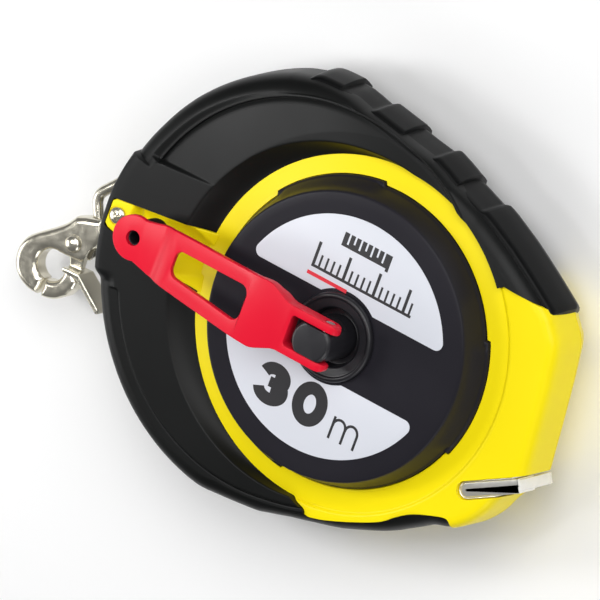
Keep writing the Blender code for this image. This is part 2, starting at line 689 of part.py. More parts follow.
def crank_arm(material):
    """Pressed steel arm: fork at the hub, long window, flat tip with the knob's hole."""
    plan = prism("crank_arm", list(reversed(arm_plan())), 45, 75, material)
    side = prism("side", arm_side(), -30, 30)
    turn_about(side, math.pi / 2, "X")
    common(plan, side)
    slot = [(20, 5.6), (-9.2, 5.6), (-9.8, 5.0), (-9.8, -5.0), (-9.2, -5.6), (20, -5.6)]
    minus(plan, prism("slot", slot, 40, 80))
    window = (arc((-58, 1.9), 3.0, 90, 180, 5) + arc((-58, -1.9), 3.0, 180, 270, 5)
              + arc((-31.7, -3.5), 3.0, 270, 360, 5) + arc((-31.7, 3.5), 3.0, 0, 90, 5))
    minus(plan, prism("window", window, 40, 80))
    minus(plan, turned("hole", [(0, 40), (2.7, 40), (2.7, 70), (0, 70)], (KNOB_X, 0), 24))
    under = prism("under", [(-20, 5.6), (-15.5, 5.6), (-15.5, -5.6), (-20, -5.6)], 50, ARM_TOP - SHEET)
    minus(plan, under)
    pin_hole = turned("pin_hole", [(0, -20), (2.1, -20), (2.1, 20), (0, 20)], steps=20)
    turn_about(pin_hole, math.pi / 2, "X")
    pin_hole.data.transform(Matrix.Translation(Vector((ARM_PIVOT[0], 0, ARM_PIVOT[1])) * MM))
    minus(plan, pin_hole)
    return pivot_at(plan, ARM_PIVOT[0], 0, ARM_PIVOT[1])


def arm_pin(material):
    """Pivot pin through both tines and the post."""
    pin = turned("arm_pivot_pin", [(0, -8.3), (1.7, -8.3), (2.0, -8.0), (2.0, 8.0), (1.7, 8.3), (0, 8.3)],
                 steps=20, material=material)
    turn_about(pin, math.pi / 2, "X")
    pin.data.transform(Matrix.Translation(Vector((ARM_PIVOT[0], 0, ARM_PIVOT[1])) * MM))
    return pivot_at(pin, ARM_PIVOT[0], 0, ARM_PIVOT[1])


def knob_rivet(material):
    """Tubular rivet that holds the knob under the arm's tip."""
    high = ARM_TIP_TOP - 1.5
    profile = [(0, 40.6), (3.9, 40.6), (3.9, 41.5), (2.5, 41.5), (2.5, high), (1.8, high),
               (1.8, 44), (0, 44)]
    return turned("knob_rivet", profile, (KNOB_X, 0), 24, material)


def knob(material):
    """Small turned knob, free to spin on its rivet."""
    low, high = 40.4, ARM_TIP_TOP - SHEET - GAP
    profile = [(4.2, low), (KNOB_R - 0.5, low), (KNOB_R, low + 0.6), (KNOB_R, low + 5), (4.7, low + 7.5),
               (4.9, high - 1), (4.5, high), (2.65, high), (2.65, 41.8), (4.2, 41.8)]
    thing = turned("crank_knob", profile, (KNOB_X, 0), 24, material)
    return pivot_at(thing, KNOB_X, 0, 0)


# ---------------------------------------------------------------- mouth
def tape_point(along, across):
    """A point on the free tape, measured back from its end in the mouth."""
    c, s = math.cos(TAPE_TILT), math.sin(TAPE_TILT)
    return (MOUTH[0] + along * c - across * s, MOUTH[1] + along * s + across * c)


def tape_lead(material):
    half = TAPE_THICK / 2
    shape = [tape_point(-80, -half), tape_point(-3, -half), tape_point(-3, half), tape_point(-80, half)]
    return prism("tape_lead", shape, MID - TAPE_WIDE / 2, MID + TAPE_WIDE / 2, material)


def end_hook(material):
    """Polished folded claw on the tape's end, lying in the mouth."""
    upper = [tape_point(-13, 0.5), tape_point(-1.5, 0.5), tape_point(-1.5, -0.5), tape_point(0, -0.5),
             tape_point(0, 1.3), tape_point(-13, 1.3)]
    return prism("end_hook", list(reversed(upper)), MID - 6.5, MID + 15.5, material)


def throat_liner(material):
    """Bright metal liner round the inner end of the mouth."""
    thick = 0.6
    outer = SLOT_HALF - 0.25
    inner = outer - thick
    outer_arc = [(outer * math.cos(a), outer * math.sin(a)) for a in
                 (math.radians(90 + 180 * i / 8) for i in range(9))]
    inner_arc = [(inner * math.cos(a), inner * math.sin(a)) for a in
                 (math.radians(270 - 180 * i / 8) for i in range(9))]
    local = outer_arc + [(10.5, -outer), (10.5, -inner)] + inner_arc + [(18, inner), (18, outer)]
    liner = prism("throat_liner", [slot_frame(*p) for p in local], MID - 8, NOSE_TOP - 1.5, material)
    window = [slot_frame(-8, -2.3), slot_frame(-0.2, -2.3), slot_frame(-0.2, 2.3), slot_frame(-8, 2.3)]
    minus(liner, prism("window", window, MID - 7, MID + 7))
    return liner


def guide_pins(material):
    """Two pins that lead the tape from the drum to the mouth."""
    for name, across in (("upper_guide_pin", 2.6), ("lower_guide_pin", -2.6)):
        at = tape_point(-31, across)
        low = DRUM_FLOOR + GAP
        turned(name, [(0, low), (1.9, low), (1.9, 30.6), (0, 30.6)], at, 20, material)


def tape_wiper(material):
    """Felt strip that cleans the tape, on the lower side of its way out."""
    shape = [tape_point(-28, -3.4), tape_point(-26, -3.4), tape_point(-26, -0.5), tape_point(-28, -0.5)]
    return prism("tape_wiper", shape, MID - 7, MID + 8, material)


# ---------------------------------------------------------------- hook
def rounded_path(corners, radius, steps=5):
    """Closed path through corner points, each turned into an arc-like bend."""
    path = []
    count = len(corners)
    for i, here in enumerate(corners):
        point = Vector(here)
        before = (Vector(corners[i - 1]) - point).normalized()
        after = (Vector(corners[(i + 1) % count]) - point).normalized()
        start, end = point + before * radius, point + after * radius
        for k in range(steps + 1):
            t = k / steps
            path.append(tuple((1 - t) ** 2 * start + 2 * t * (1 - t) * point + t * t * end))
    return path


def leg_point(along, across=0.0):
    """A point beside the ring's lower leg, in plan: along it from the outer corner, and across."""
    direction = (Vector(RING_LOW) - Vector(RING_TOP)).normalized()
    side = Vector((-direction.y, direction.x))
    return tuple(Vector(RING_TOP) + direction * along + side * across)


def hook_ring(material):
    """Wire ring whose inner leg is hinged in the case's left end."""
    plan = [RING_TOP, (-105.0, 6.6), (RING_HINGE_X, 6.6), (RING_HINGE_X, -12.6), RING_LOW]
    corners = [(x, y, MID) for x, y in plan]
    ring = sweep("hook_ring", rounded_path(corners, 3.4), WIRE_R, material, closed=True)
    return pivot_at(ring, RING_HINGE_X, 0, MID)


def ring_bracket(material):
    """Block in the case's end that holds the ring's inner leg."""
    block = prism("ring_bracket", [(-92.2, -7.6), (-88.2, -7.6), (-88.2, 2.6), (-92.2, 2.6)],
                  MID - 6.6, MID + 6.6, material)
    bore = turned("bore", [(0, -20), (WIRE_R + GAP, -20), (WIRE_R + GAP, 20), (0, 20)], steps=20)
    turn_about(bore, math.pi / 2, "X")
    bore.data.transform(Matrix.Translation(Vector((RING_HINGE_X, 0, MID)) * MM))
    return minus(block, bore)


def hook_outline():
    """Plan of the hook, clockwise: eye, cheek, open round hook, neck."""
    eye = [leg_point(9.2, 3.6), leg_point(14.6, 3.6)]
    cheek = [(-106.4, -22.5), (-107.6, -26.4), (-111.0, -28.6), (-116.5, -29.0)]
    inner = arc(HOOK_EYE, HOOK_IN, 78, 262, 12)
    outer = [(-122.6, -46.4), (-126.4, -46.2), (-130.6, -44.4), (-133.7, -41.3), (-135.2, -37.4),
             (-135.1, -33.4), (-133.2, -29.6), (-129.6, -26.3)]
    neck = [(-124.7, -22.8), (-120.6, -19.4), (-117.4, -16.2)]
    return eye + cheek + inner + outer + neck + [leg_point(9.2, -3.6)]


def rounded_plate(name, outline, half, soft, material=None):
    """Plate about the middle plane with its edges rounded by `soft`; outline counter-clockwise."""
    rings = []
    for k in range(-3, 4):
        turn = math.radians(30 * abs(k))
        height = 0.0 if k == 0 else math.copysign(half - soft + soft * math.sin(turn), k)
        inset = soft * (1 - math.cos(turn))
        rings.append([(x, y, MID + height) for x, y in offset(outline, -inset)])
    return loft(name, rings, material)


def leg_tunnel():
    """Room for the ring's outer leg, flared where the wire bends away at its foot."""
    bore = WIRE_R + GAP + 0.1
    rings = []
    for along, radius in ((4, bore), (15.6, bore), (16.6, 2.3), (17.6, 3.1), (18.6, 4.3), (24, 7.0)):
        x, y = leg_point(along)
        side = Vector(leg_point(along, 1.0)) - Vector((x, y))
        rings.append([(x + radius * math.cos(a) * side.x, y + radius * math.cos(a) * side.y,
                       MID + radius * math.sin(a)) for a in (2 * math.pi * k / 20 for k in range(20))])
    return loft("tunnel", rings)


def hook_body(material):
    """Forged hook with an eye round the ring's leg and a slot for the gate's tongue."""
    body = rounded_plate("hook_body", list(reversed(hook_outline())), HOOK_HALF, 1.6, material)
    minus(body, leg_tunnel())
    fan = arc(RIVET_XY, 7.4, -120, 100, 14)
    fan += [(RIVET_XY[0] - 5.6, RIVET_XY[1] + 3), (RIVET_XY[0] - 6, RIVET_XY[1] - 3)]
    minus(body, prism("slot", fan, MID - 2.4, MID + 2.4))
    low_slot = [(-122, -27.6), (-104, -27.6), (-104, -34), (-122, -34)]
    minus(body, prism("low_slot", low_slot, MID - 2.4, MID + 2.4))
    minus(body, turned("bore", [(0, 0), (2.3, 0), (2.3, 40), (0, 40)], RIVET_XY, 20))
    return body


def gate_plan():
    """Plan of the round part of the gate, from the split up to the lever."""
    outer = arc(HOOK_EYE, HOOK_OUT, 268, 358, 9)
    inner = arc(HOOK_EYE, HOOK_IN, 350, 268, 8)
    return outer + [(-112.4, -32.6), (-115.4, -32.8)] + inner


def hook_gate(material):
    """Gate that closes the hook, with its tongue on the rivet and a thumb lever."""
    gate = rounded_plate("hook_gate", gate_plan(), HOOK_HALF - 0.4, 1.5, material)
    tongue = [(-118.4, -25.6), *arc(RIVET_XY, 4.2, 200, -20, 12), (-110.6, -33.6), (-114.4, -34.6)]
    plus(gate, prism("tongue", list(reversed(tongue)), MID - 2.1, MID + 0.6))
    lever = [(-115.4, -34.0), (-115.8, -32.6), (-109.0, -32.2), (-97.4, -40.2), (-97.0, -41.6),
             (-97.9, -42.0), (-109.4, -34.2)]
    plus(gate, prism("lever", list(reversed(lever)), MID - 5.6, MID + 5.6))
    minus(gate, turned("bore", [(0, 0), (2.3, 0), (2.3, 40), (0, 40)], RIVET_XY, 20))
    return pivot_at(gate, *RIVET_XY, MID)


def hook_rivet(material):
    """Domed rivet through both cheeks and the gate's tongue."""
    top, low = MID + HOOK_HALF + GAP, MID - HOOK_HALF - GAP
    profile = [(0, low - 1.1), (1.6, low - 0.8), (2.9, low), (2.0, low), (2.0, top), (2.9, top),
               (2.6, top + 0.8), (1.6, top + 1.3), (0, top + 1.5)]
    return turned("hook_rivet", profile, RIVET_XY, 20, material)


def gate_spring(material):
    """Small torsion spring round the rivet, beside the gate's tongue."""
    turns = 2.0
    steps = 20
    path = []
    for i in range(steps + 1):
        a = 2 * math.pi * turns * i / steps
        path.append((RIVET_XY[0] + 3.3 * math.cos(a), RIVET_XY[1] + 3.3 * math.sin(a),
                     MID + 1.15 + 0.85 * i / steps))
    return sweep("gate_spring", path, 0.18, material, sides=6)


# ---------------------------------------------------------------- assembly
def clear_scene():
    for thing in list(bpy.data.objects):
        bpy.data.objects.remove(thing)


def shade(thing):
    thing.data.shade_smooth()
    thing.data.set_sharp_from_angle(angle=math.radians(35))


def main():
    clear_scene()
    yellow = paint("yellow_abs", (0.93, 0.78, 0.01), 0.35)
    black = paint("black_rubber", (0.03, 0.032, 0.032), 0.6)
    graphite = paint("graphite_abs", (0.05, 0.048, 0.06), 0.5)
    red = paint("red_paint", (0.75, 0.02, 0.045), 0.4)
    white = paint("white_label", (0.8, 0.81, 0.84), 0.5)
    steel = paint("steel", (0.6, 0.6, 0.6), 0.3, 1.0)
    nickel = paint("nickel", (0.72, 0.68, 0.6), 0.15, 1.0)
    nylon = paint("nylon", (0.75, 0.74, 0.7), 0.5)
    blade = paint("yellow_blade", (0.85, 0.7, 0.05), 0.4)
    felt = paint("felt", (0.2, 0.2, 0.19), 0.95)

    front_case(yellow)
    front_skin(black)
    back_case(yellow)
    back_skin(black)
    grip_pad(black)
    case_screws(steel)
    tab_screw(steel)
    gear_cover(graphite)
    labels(white)
    crank_wheel(nylon)
    drum_pinion(nylon)
    drum_parts(graphite, steel, blade)
    crank_hub(graphite)
    hub_screw(steel)
    hub_washer(steel)
    crank_arm(red)
    arm_pin(steel)
    knob_rivet(steel)
    knob(black)
    tape_lead(blade)
    end_hook(nickel)
    throat_liner(nickel)
    guide_pins(steel)
    tape_wiper(felt)
    ring_bracket(steel)
    hook_ring(nickel)
    hook_body(nickel)
    hook_gate(nickel)
    hook_rivet(nickel)
    gate_spring(steel)
    for thing in bpy.data.objects:
        shade(thing)


main()
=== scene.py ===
"""Looks of the surveyor's tape reel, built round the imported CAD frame.

Lengths are in millimetres in the CAD's own frame; they become metres where a mesh is made.
"""
import json
from math import asin, copysign, cos, degrees, pi, radians, sin

import bpy
import numpy as np
from mathutils import Matrix, Vector


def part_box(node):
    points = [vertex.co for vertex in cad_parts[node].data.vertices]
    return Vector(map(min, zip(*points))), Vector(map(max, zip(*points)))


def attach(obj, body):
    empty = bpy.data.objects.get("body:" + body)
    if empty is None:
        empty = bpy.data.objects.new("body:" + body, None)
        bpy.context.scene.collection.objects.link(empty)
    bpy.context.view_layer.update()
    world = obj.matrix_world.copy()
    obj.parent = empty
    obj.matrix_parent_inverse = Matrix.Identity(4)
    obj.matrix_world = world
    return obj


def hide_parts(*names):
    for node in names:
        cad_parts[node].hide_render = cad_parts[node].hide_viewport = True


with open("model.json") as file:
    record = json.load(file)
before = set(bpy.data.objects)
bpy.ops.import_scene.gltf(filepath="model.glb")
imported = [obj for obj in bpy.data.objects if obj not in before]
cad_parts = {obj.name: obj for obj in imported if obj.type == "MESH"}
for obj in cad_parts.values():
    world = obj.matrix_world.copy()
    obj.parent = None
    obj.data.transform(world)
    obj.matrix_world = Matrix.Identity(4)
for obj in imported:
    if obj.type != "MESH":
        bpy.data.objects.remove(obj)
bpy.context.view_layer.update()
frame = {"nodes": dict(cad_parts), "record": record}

MM = 0.001


def box_mm(node):
    """Lowest and highest corner of a CAD node in millimetres."""
    low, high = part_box(node)
    return np.array(low) / MM, np.array(high) / MM


def centre_mm(node):
    low, high = box_mm(node)
    return (low + high) / 2


def z_range(node):
    """Back and front of a CAD node."""
    low, high = box_mm(node)
    return low[2], high[2]


# ---- places taken from the frame
MID = (z_range("front_case")[0] + z_range("rear_case")[1]) / 2   # parting plane
FACE = z_range("front_rubber")[1]                                  # front of the black face
NOSE = FACE - 2.0                                                    # front of the yellow nose
DISC = z_range("gear_cover")[1]                                    # front of the gear cover
LABEL_TOP = z_range("upper_label")[1]
DRUM_X = centre_mm("tape_coil")[0]
BODY_R = 77.0                                                        # round end of the case
KNOB_X = centre_mm("crank_knob")[0]
KNOB_LOW, KNOB_HIGH = z_range("crank_knob")
PIN = centre_mm("arm_pivot_pin")
ARM_TOP = z_range("crank_arm")[1]
SCREW = centre_mm("tab_screw")[:2]
SCREW_TOP = z_range("tab_screw")[1]
RIVET = centre_mm("hook_rivet")[:2]

RING_R = 61.0            # outer edge of the yellow ring
BACK_RING_R = 50.0       # the same ring's edge seen from the back
COVER_R = 49.6           # flat front of the gear cover
COVER_FOOT = 53.0        # foot of its flank
LOBE_OUT = 1.4           # how far the three bayonet lobes stand out
COLLAR = (-8.4, 0.0, 62.0)      # crest of the dished collar: centre x, y, radius
GROOVE = (-22.0, 1.7, 69.4)     # groove between the face and the shoulder band
SLOT_AT = (60.8, -29.8)         # mouth slot: centre of its round inner end
SLOT_TILT = radians(30.0)
SLOT_HALF = 3.3
PART_GAP = 0.15          # the halves stop this short of the parting plane
FRONT_CUT = (0, 60)      # heights between which a cutter passes the front half
BACK_CUT = (-5, 60)      # and both halves
CASE_SCREWS = [f"case_screw_{number}" for number in range(1, 7)]


# ---- numbers
def smooth(low, high, value):
    """0 below low, 1 above high, and an even S between them."""
    t = np.clip((np.asarray(value, float) - low) / (high - low), 0.0, 1.0)
    return t * t * (3 - 2 * t)


def mix(a, b, t):
    return a + (b - a) * t


def unit(vectors):
    return vectors / np.linalg.norm(vectors, axis=-1, keepdims=True)


def arc(centre, radius, start, end, count):
    """Points on an arc, angles in degrees, both ends included."""
    a = np.radians(np.linspace(start, end, count))
    return [(centre[0] + radius * c, centre[1] + radius * s) for c, s in zip(np.cos(a), np.sin(a))]


def circle(centre, radius, count=64):
    return arc(centre, radius, 0, 360 - 360 / count, count)


def curve_through(anchors, steps):
    """Catmull-Rom points through the anchors, ends included."""
    rows = [anchors[0], *anchors, anchors[-1]]
    points = []
    for a, b, c, d in zip(rows, rows[1:], rows[2:], rows[3:]):
        a, b, c, d = (np.array(p, float) for p in (a, b, c, d))
        for i in range(steps):
            t = i / steps
            points.append(tuple((a * (-t + 2 * t * t - t ** 3) + b * (2 - 5 * t * t + 3 * t ** 3)
                                 + c * (t + 4 * t * t - 3 * t ** 3) + d * (t ** 3 - t * t)) / 2))
    points.append(tuple(anchors[-1]))
    return points


def offset(outline, distance):
    """Move a counter-clockwise outline outwards by a distance, with mitred corners."""
    p = np.array(outline, float)
    first = unit(p - np.roll(p, 1, 0))
    second = unit(np.roll(p, -1, 0) - p)
    normal = unit(np.stack([first[:, 1] + second[:, 1], -first[:, 0] - second[:, 0]], 1))
    spread = np.maximum(0.45, (normal * np.stack([first[:, 1], -first[:, 0]], 1)).sum(1))
    return [tuple(row) for row in p + normal * (distance / spread)[:, None]]


def slot_frame(along, across):
    """A point of the mouth slot, measured along and across its axis."""
    c, s = cos(SLOT_TILT), sin(SLOT_TILT)
    return (SLOT_AT[0] + along * c - across * s, SLOT_AT[1] + along * s + across * c)


# ---- the case's plan, in polar form
def case_outline():
    """The case's outline at the parting plane, counter-clockwise."""
    round_end = arc((DRUM_X, 0), BODY_R, 96, 262, 160)
    belly = [(-10, -75.4), (8, -70), (20, -66), (30, -61.8), (38, -58), (47, -52), (53, -47.8), (58.5, -46),
             (63, -43), (67, -38.6), (70.3, -33.6), (72.4, -28.6), (79.6, -17.5)]
    nose = [(76.4, 11), (73.9, 31.5)]
    brow = [(69.8, 39.2), (63, 43.4), (50, 50.6), (30, 60.4), (18, 65.2), (8, 68.6), (-6, 72), (-20, 74.8)]
    return round_end + curve_through(belly, 6) + nose + curve_through(brow, 6)


def spokes(phi):
    """Unit vectors at angles in degrees."""
    return np.stack([np.cos(np.radians(phi)), np.sin(np.radians(phi))], 1)


# spokes about the crank axis, closer together where the left block's ledges run
PHI = np.concatenate([np.arange(-152.0, 152.0, 0.5), np.arange(152.0, 208.0, 0.22)])
SPOKE = spokes(PHI)

# how far the rubber and the mouldings stand out of the plain outline, by angle about the crank
OUTLINE_TRIM = [
    (0, 0.4), (12, 0.5), (20, 0.3), (24, -0.4), (28, -1.6), (34, -1.3), (42, -0.8), (50, -0.3), (60, -0.3),
    (68, -0.8), (76, -1.1), (84, -0.5), (92, -1.4), (100, -1.9), (108, -2.3), (114, -1.4), (121, 0.5),
    (128, 1.2), (150, 1.3), (160, 1.0), (168, 1.2), (176, 1.5), (190, 0.8), (200, 0.0), (212, -0.4),
    (248, -0.5), (256, -1.3), (264, -2.1), (272, -2.2), (280, -1.5), (288, -0.8), (300, -0.6), (318, -0.3),
    (330, 0.0), (345, 0.1), (353, 0.25)]


def outline_on(phi, soften=1.1):
    """Distance of the case's outline on each spoke, with its corners softened, and how much longer
    a step along the spoke is than the same step square to the outline."""
    corners = np.array(case_outline())
    points = np.vstack([a + (b - a) * t for a, b in zip(corners, np.roll(corners, -1, 0))
                        for t in np.linspace(0, 1, 24, endpoint=False)])
    angle = np.degrees(np.unwrap(np.arctan2(points[:, 1], points[:, 0])))
    reach = np.hypot(points[:, 0], points[:, 1])
    order = np.argsort(angle)
    angle, reach = angle[order], reach[order]
    fine = np.arange(0.0, 360.0, 0.1)
    rho = np.interp(fine, np.concatenate([angle - 360, angle, angle + 360]), np.tile(reach, 3))
    lag = np.arange(-40, 41) * 0.1
    weight = np.exp(-(lag / soften) ** 2 / 2)
    weight /= weight.sum()
    padded = np.concatenate([rho[-40:], rho, rho[:40]])
    rho = np.convolve(padded, weight, "valid") + np.interp(fine, *zip(*OUTLINE_TRIM), period=360)
    slope = (np.roll(rho, -1) - np.roll(rho, 1)) / radians(0.2)
    stretch = np.sqrt(1 + (slope / rho) ** 2)
    here = np.mod(phi, 360.0)
    return np.interp(here, fine, rho, period=360), np.interp(here, fine, stretch, period=360)


EDGE, STRETCH = outline_on(PHI)


def inside(distance):
    """Reach of each spoke to a line at a distance inside the case's outline."""
    return EDGE - distance * STRETCH


def ray_circle(phi, x, y, radius):
    """Distance along each spoke to a circle round (x, y)."""
    toward = spokes(phi) @ np.array([x, y])
    return toward + np.sqrt(radius ** 2 - x * x - y * y + toward ** 2)


def ring_at(rho, z, spoke=None):
    """One closed ring of points from spoke distances and heights."""
    spoke = SPOKE if spoke is None else spoke
    rho = np.broadcast_to(rho, (len(spoke),))
    z = np.broadcast_to(z, (len(spoke),))
    return np.column_stack([spoke * rho[:, None], z])


def yellow_outline(grow=0.0, ring_r=RING_R):
    """Plan of the yellow nose, joined to the ring round the gear cover."""
    upper = [(90, 39.6), (68.4, 40.2), (48.3, 41.2)]
    round_ring = arc((0, 0), ring_r, 40.5, 271, 150)
    lower = curve_through([(3.2, -61.9), (7, -63.2), (8, -64.8)], 4)[1:]
    lower += curve_through([(9.5, -65), (15, -63.5), (25, -59.4), (35, -54.4), (40, -50.2), (45, -46.6),
                            (52, -43.6), (58, -42), (60.2, -44.5)], 5)
    shape = upper + round_ring + lower + [(60.2, -60), (90, -60)]
    return offset(shape, grow)


# ---- meshes
def mesh_object(name, vertices, faces):
    mesh = bpy.data.meshes.new(name)
    mesh.from_pydata((np.asarray(vertices, float) * MM).tolist(), [], faces)
    mesh.update()
    thing = bpy.data.objects.new(name, mesh)
    bpy.context.scene.collection.objects.link(thing)
    return thing


def loft(name, rings, closed=False):
    """Skin a row of closed rings that all have the same number of points."""
    rings = [np.asarray(ring, float) for ring in rings]
    count = len(rings[0])
    faces = []
    pairs = [(k, k + 1) for k in range(len(rings) - 1)]
    if closed:
        pairs.append((len(rings) - 1, 0))
    for low, high in pairs:
        a, b = low * count, high * count
        for i in range(count):
            j = (i + 1) % count
            faces.append((a + i, a + j, b + j, b + i))
    if not closed:
        faces.append(tuple(reversed(range(count))))
        faces.append(tuple(range((len(rings) - 1) * count, len(rings) * count)))
    thing = mesh_object(name, np.concatenate(rings), faces)
    face_out(thing)
    return thing


def face_out(thing):
    """Turn the faces of a closed mesh outwards."""
    mesh = thing.data
    mesh.calc_loop_triangles()
    corners = np.empty(len(mesh.loop_triangles) * 3, int)
    mesh.loop_triangles.foreach_get("vertices", corners)
    points = np.empty(len(mesh.vertices) * 3)
    mesh.vertices.foreach_get("co", points)
    t = points.reshape(-1, 3)[corners].reshape(-1, 3, 3)
    if np.einsum("ij,ij->i", t[:, 0], np.cross(t[:, 1], t[:, 2])).sum() < 0:
        mesh.flip_normals()


def prism(name, outline, low, high, soft=0.0):
    """Extrude an outline; `soft` rounds its upper edge."""
    levels = [(0.0, low), (0.0, high - soft)]
    if soft:
        levels += [(soft * (1 - cos(a)), high - soft + soft * sin(a))
                   for a in np.radians([30, 60, 90])]
    rings = []
    for inset, z in levels:
        ring = offset(outline, -inset) if inset else outline
        rings.append([(x, y, z) for x, y in ring])
    return loft(name, rings)


def turned(name, profile, at=(0.0, 0.0), steps=96):
    """Turn a closed profile of (radius, z); radius 0 is the axis."""
    turn = np.linspace(0, 2 * pi, steps, endpoint=False)
    vertices, rows = [], []
    for radius, z in profile:
        if radius == 0:
            vertices.append((at[0], at[1], z))
            rows.append([len(vertices) - 1] * steps)
            continue
        start = len(vertices)
        vertices += [(at[0] + radius * cos(a), at[1] + radius * sin(a), z) for a in turn]
        rows.append(list(range(start, start + steps)))
    faces = []
    for row, after in zip(rows, rows[1:] + rows[:1]):
        if row[0] == row[1] and after[0] == after[1]:
            continue
        for i in range(steps):
            j = (i + 1) % steps
            faces.append(tuple(dict.fromkeys((row[i], row[j], after[j], after[i]))))
    thing = mesh_object(name, vertices, faces)
    face_out(thing)
    return thing


def rounded(profile, radius, steps=4):
    """Round the corners of a closed profile; axis points and short sides stay."""
    result = []
    count = len(profile)
    for i, here in enumerate(profile):
        here = np.array(here, float)
        before, after = (np.array(profile[i - 1], float), np.array(profile[(i + 1) % count], float))
        reach = min(radius, np.linalg.norm(before - here) * 0.45, np.linalg.norm(after - here) * 0.45)
        if here[0] == 0 or reach < 0.02:
            result.append(tuple(here))
            continue
        a = here + unit(before - here) * reach
        b = here + unit(after - here) * reach
        for k in range(steps + 1):
            t = k / steps
            result.append(tuple((1 - t) ** 2 * a + 2 * t * (1 - t) * here + t * t * b))
    return result


def tube(name, path, radii, sides):
    """Run a wire with an oval section (across, along z) round a closed level path."""
    points = np.array(path, float)
    along = unit(np.roll(points, -1, 0) - np.roll(points, 1, 0))
    side = unit(np.cross(along, (0, 0, 1)))
    other = np.cross(side, along)
    turn = np.linspace(0, 2 * pi, sides, endpoint=False)
    rings = [point + radii[0] * np.outer(np.cos(turn), a) + radii[1] * np.outer(np.sin(turn), b)
             for point, a, b in zip(points, side, other)]
    return loft(name, rings, closed=True)


def apply_modifiers(thing):
    graph = bpy.context.evaluated_depsgraph_get()
    result = bpy.data.meshes.new_from_object(thing.evaluated_get(graph))
    thing.modifiers.clear()
    old, thing.data = thing.data, result
    bpy.data.meshes.remove(old)
    return thing


def boolean(operation):
    """A function that applies one Boolean with each of the other objects, and removes them."""
    def work(thing, *others):
        for other in others:
            modifier = thing.modifiers.new("cut", "BOOLEAN")
            modifier.operation, modifier.solver, modifier.object = operation, "MANIFOLD", other
            apply_modifiers(thing)
            bpy.data.objects.remove(other)
        return thing
    return work


minus, plus, common = boolean("DIFFERENCE"), boolean("UNION"), boolean("INTERSECT")


def turn_mesh(thing, angle, axis, at=(0.0, 0.0, 0.0)):
    """Turn the mesh itself about an axis through a point."""
    place = Vector(at) * MM
    turn = Matrix.Rotation(angle, 4, axis)
    thing.data.transform(Matrix.Translation(place) @ turn @ Matrix.Translation(-place))
    return thing


def move_mesh(thing, x, y, z):
    thing.data.transform(Matrix.Translation(Vector((x, y, z)) * MM))
    return thing


def soften_edges(thing, width, angle=35, segments=3):
    """Bevel the edges that are sharper than an angle."""
    bevel = thing.modifiers.new("soft", "BEVEL")
    bevel.width = width * MM
    bevel.segments = segments
    bevel.limit_method = "ANGLE"
    bevel.angle_limit = radians(angle)
    return apply_modifiers(thing)


def forge(thing, passes, voxel=0.26):
    """Melt a joined shape into one smooth forging."""
    remesh = thing.modifiers.new("melt", "REMESH")
    remesh.mode = "VOXEL"
    remesh.voxel_size = voxel * MM
    relax = thing.modifiers.new("relax", "SMOOTH")
    relax.factor = 0.5
    relax.iterations = passes
    return apply_modifiers(thing)


def finish_piece(thing, finish, body, *nodes, slot=None, sharp=35):
    """Shade a piece, give it its material and body, and hide the CAD nodes it stands for.
    The slot argument is not used."""
    thing.data.materials.clear()
    thing.data.materials.append(MATERIALS[finish])
    thing.data.polygons.foreach_set("material_index", [0] * len(thing.data.polygons))
    thing.data.shade_smooth()
    thing.data.set_sharp_from_angle(angle=radians(sharp))
    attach(thing, body)
    if nodes:
        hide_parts(*nodes)


# ---- materials
def shader_node(tree, kind, **values):
    """A node with its inputs set; an underscore in a name stands for a space."""
    node = tree.nodes.new("ShaderNode" + kind)
    for name, value in values.items():
        node.inputs[name.replace("_", " ")].default_value = value
    return node


def new_material(name, colour, rough, metal=0.0, specular=0.5):
    """A Principled material whose shader and node tree are returned too."""
    material = bpy.data.materials.new(name)
    material.use_nodes = True
    tree = material.node_tree
    shader = tree.nodes["Principled BSDF"]
    shader.inputs["Base Color"].default_value = (*colour, 1)
    shader.inputs["Roughness"].default_value = rough
    shader.inputs["Metallic"].default_value = metal
    shader.inputs["Specular IOR Level"].default_value = specular
    return material, tree, shader


def noise(tree, scale, detail=3.0, stretch=(1, 1, 1)):
    """Noise in the object's own space; scale is in waves per metre."""
    place = shader_node(tree, "TexCoord")
    mapping = shader_node(tree, "Mapping", Scale=stretch)
    texture = shader_node(tree, "TexNoise", Scale=scale, Detail=detail)
    tree.links.new(place.outputs["Object"], mapping.inputs["Vector"])
    tree.links.new(mapping.outputs["Vector"], texture.inputs["Vector"])
    return texture.outputs["Fac"]


def spread(tree, value, low, high):
    """Map a noise value from its usual range to low..high."""
    node = shader_node(tree, "MapRange", From_Min=0.3, From_Max=0.7, To_Min=low, To_Max=high)
    tree.links.new(value, node.inputs["Value"])
    return node.outputs["Result"]


def tint(tree, shader, value, first, second):
    """Base colour that wanders between two close colours; value is a noise output."""
    value = spread(tree, value, 0.0, 1.0)
    node = tree.nodes.new("ShaderNodeMix")
    node.data_type = "RGBA"
    node.inputs["A"].default_value = (*first, 1)
    node.inputs["B"].default_value = (*second, 1)
    tree.links.new(value, node.inputs["Factor"])
    tree.links.new(node.outputs["Result"], shader.inputs["Base Color"])


def grain(tree, shader, height, strength, distance):
    bump = shader_node(tree, "Bump", Strength=strength, Distance=distance * MM)
    tree.links.new(height, bump.inputs["Height"])
    tree.links.new(bump.outputs["Normal"], shader.inputs["Normal"])


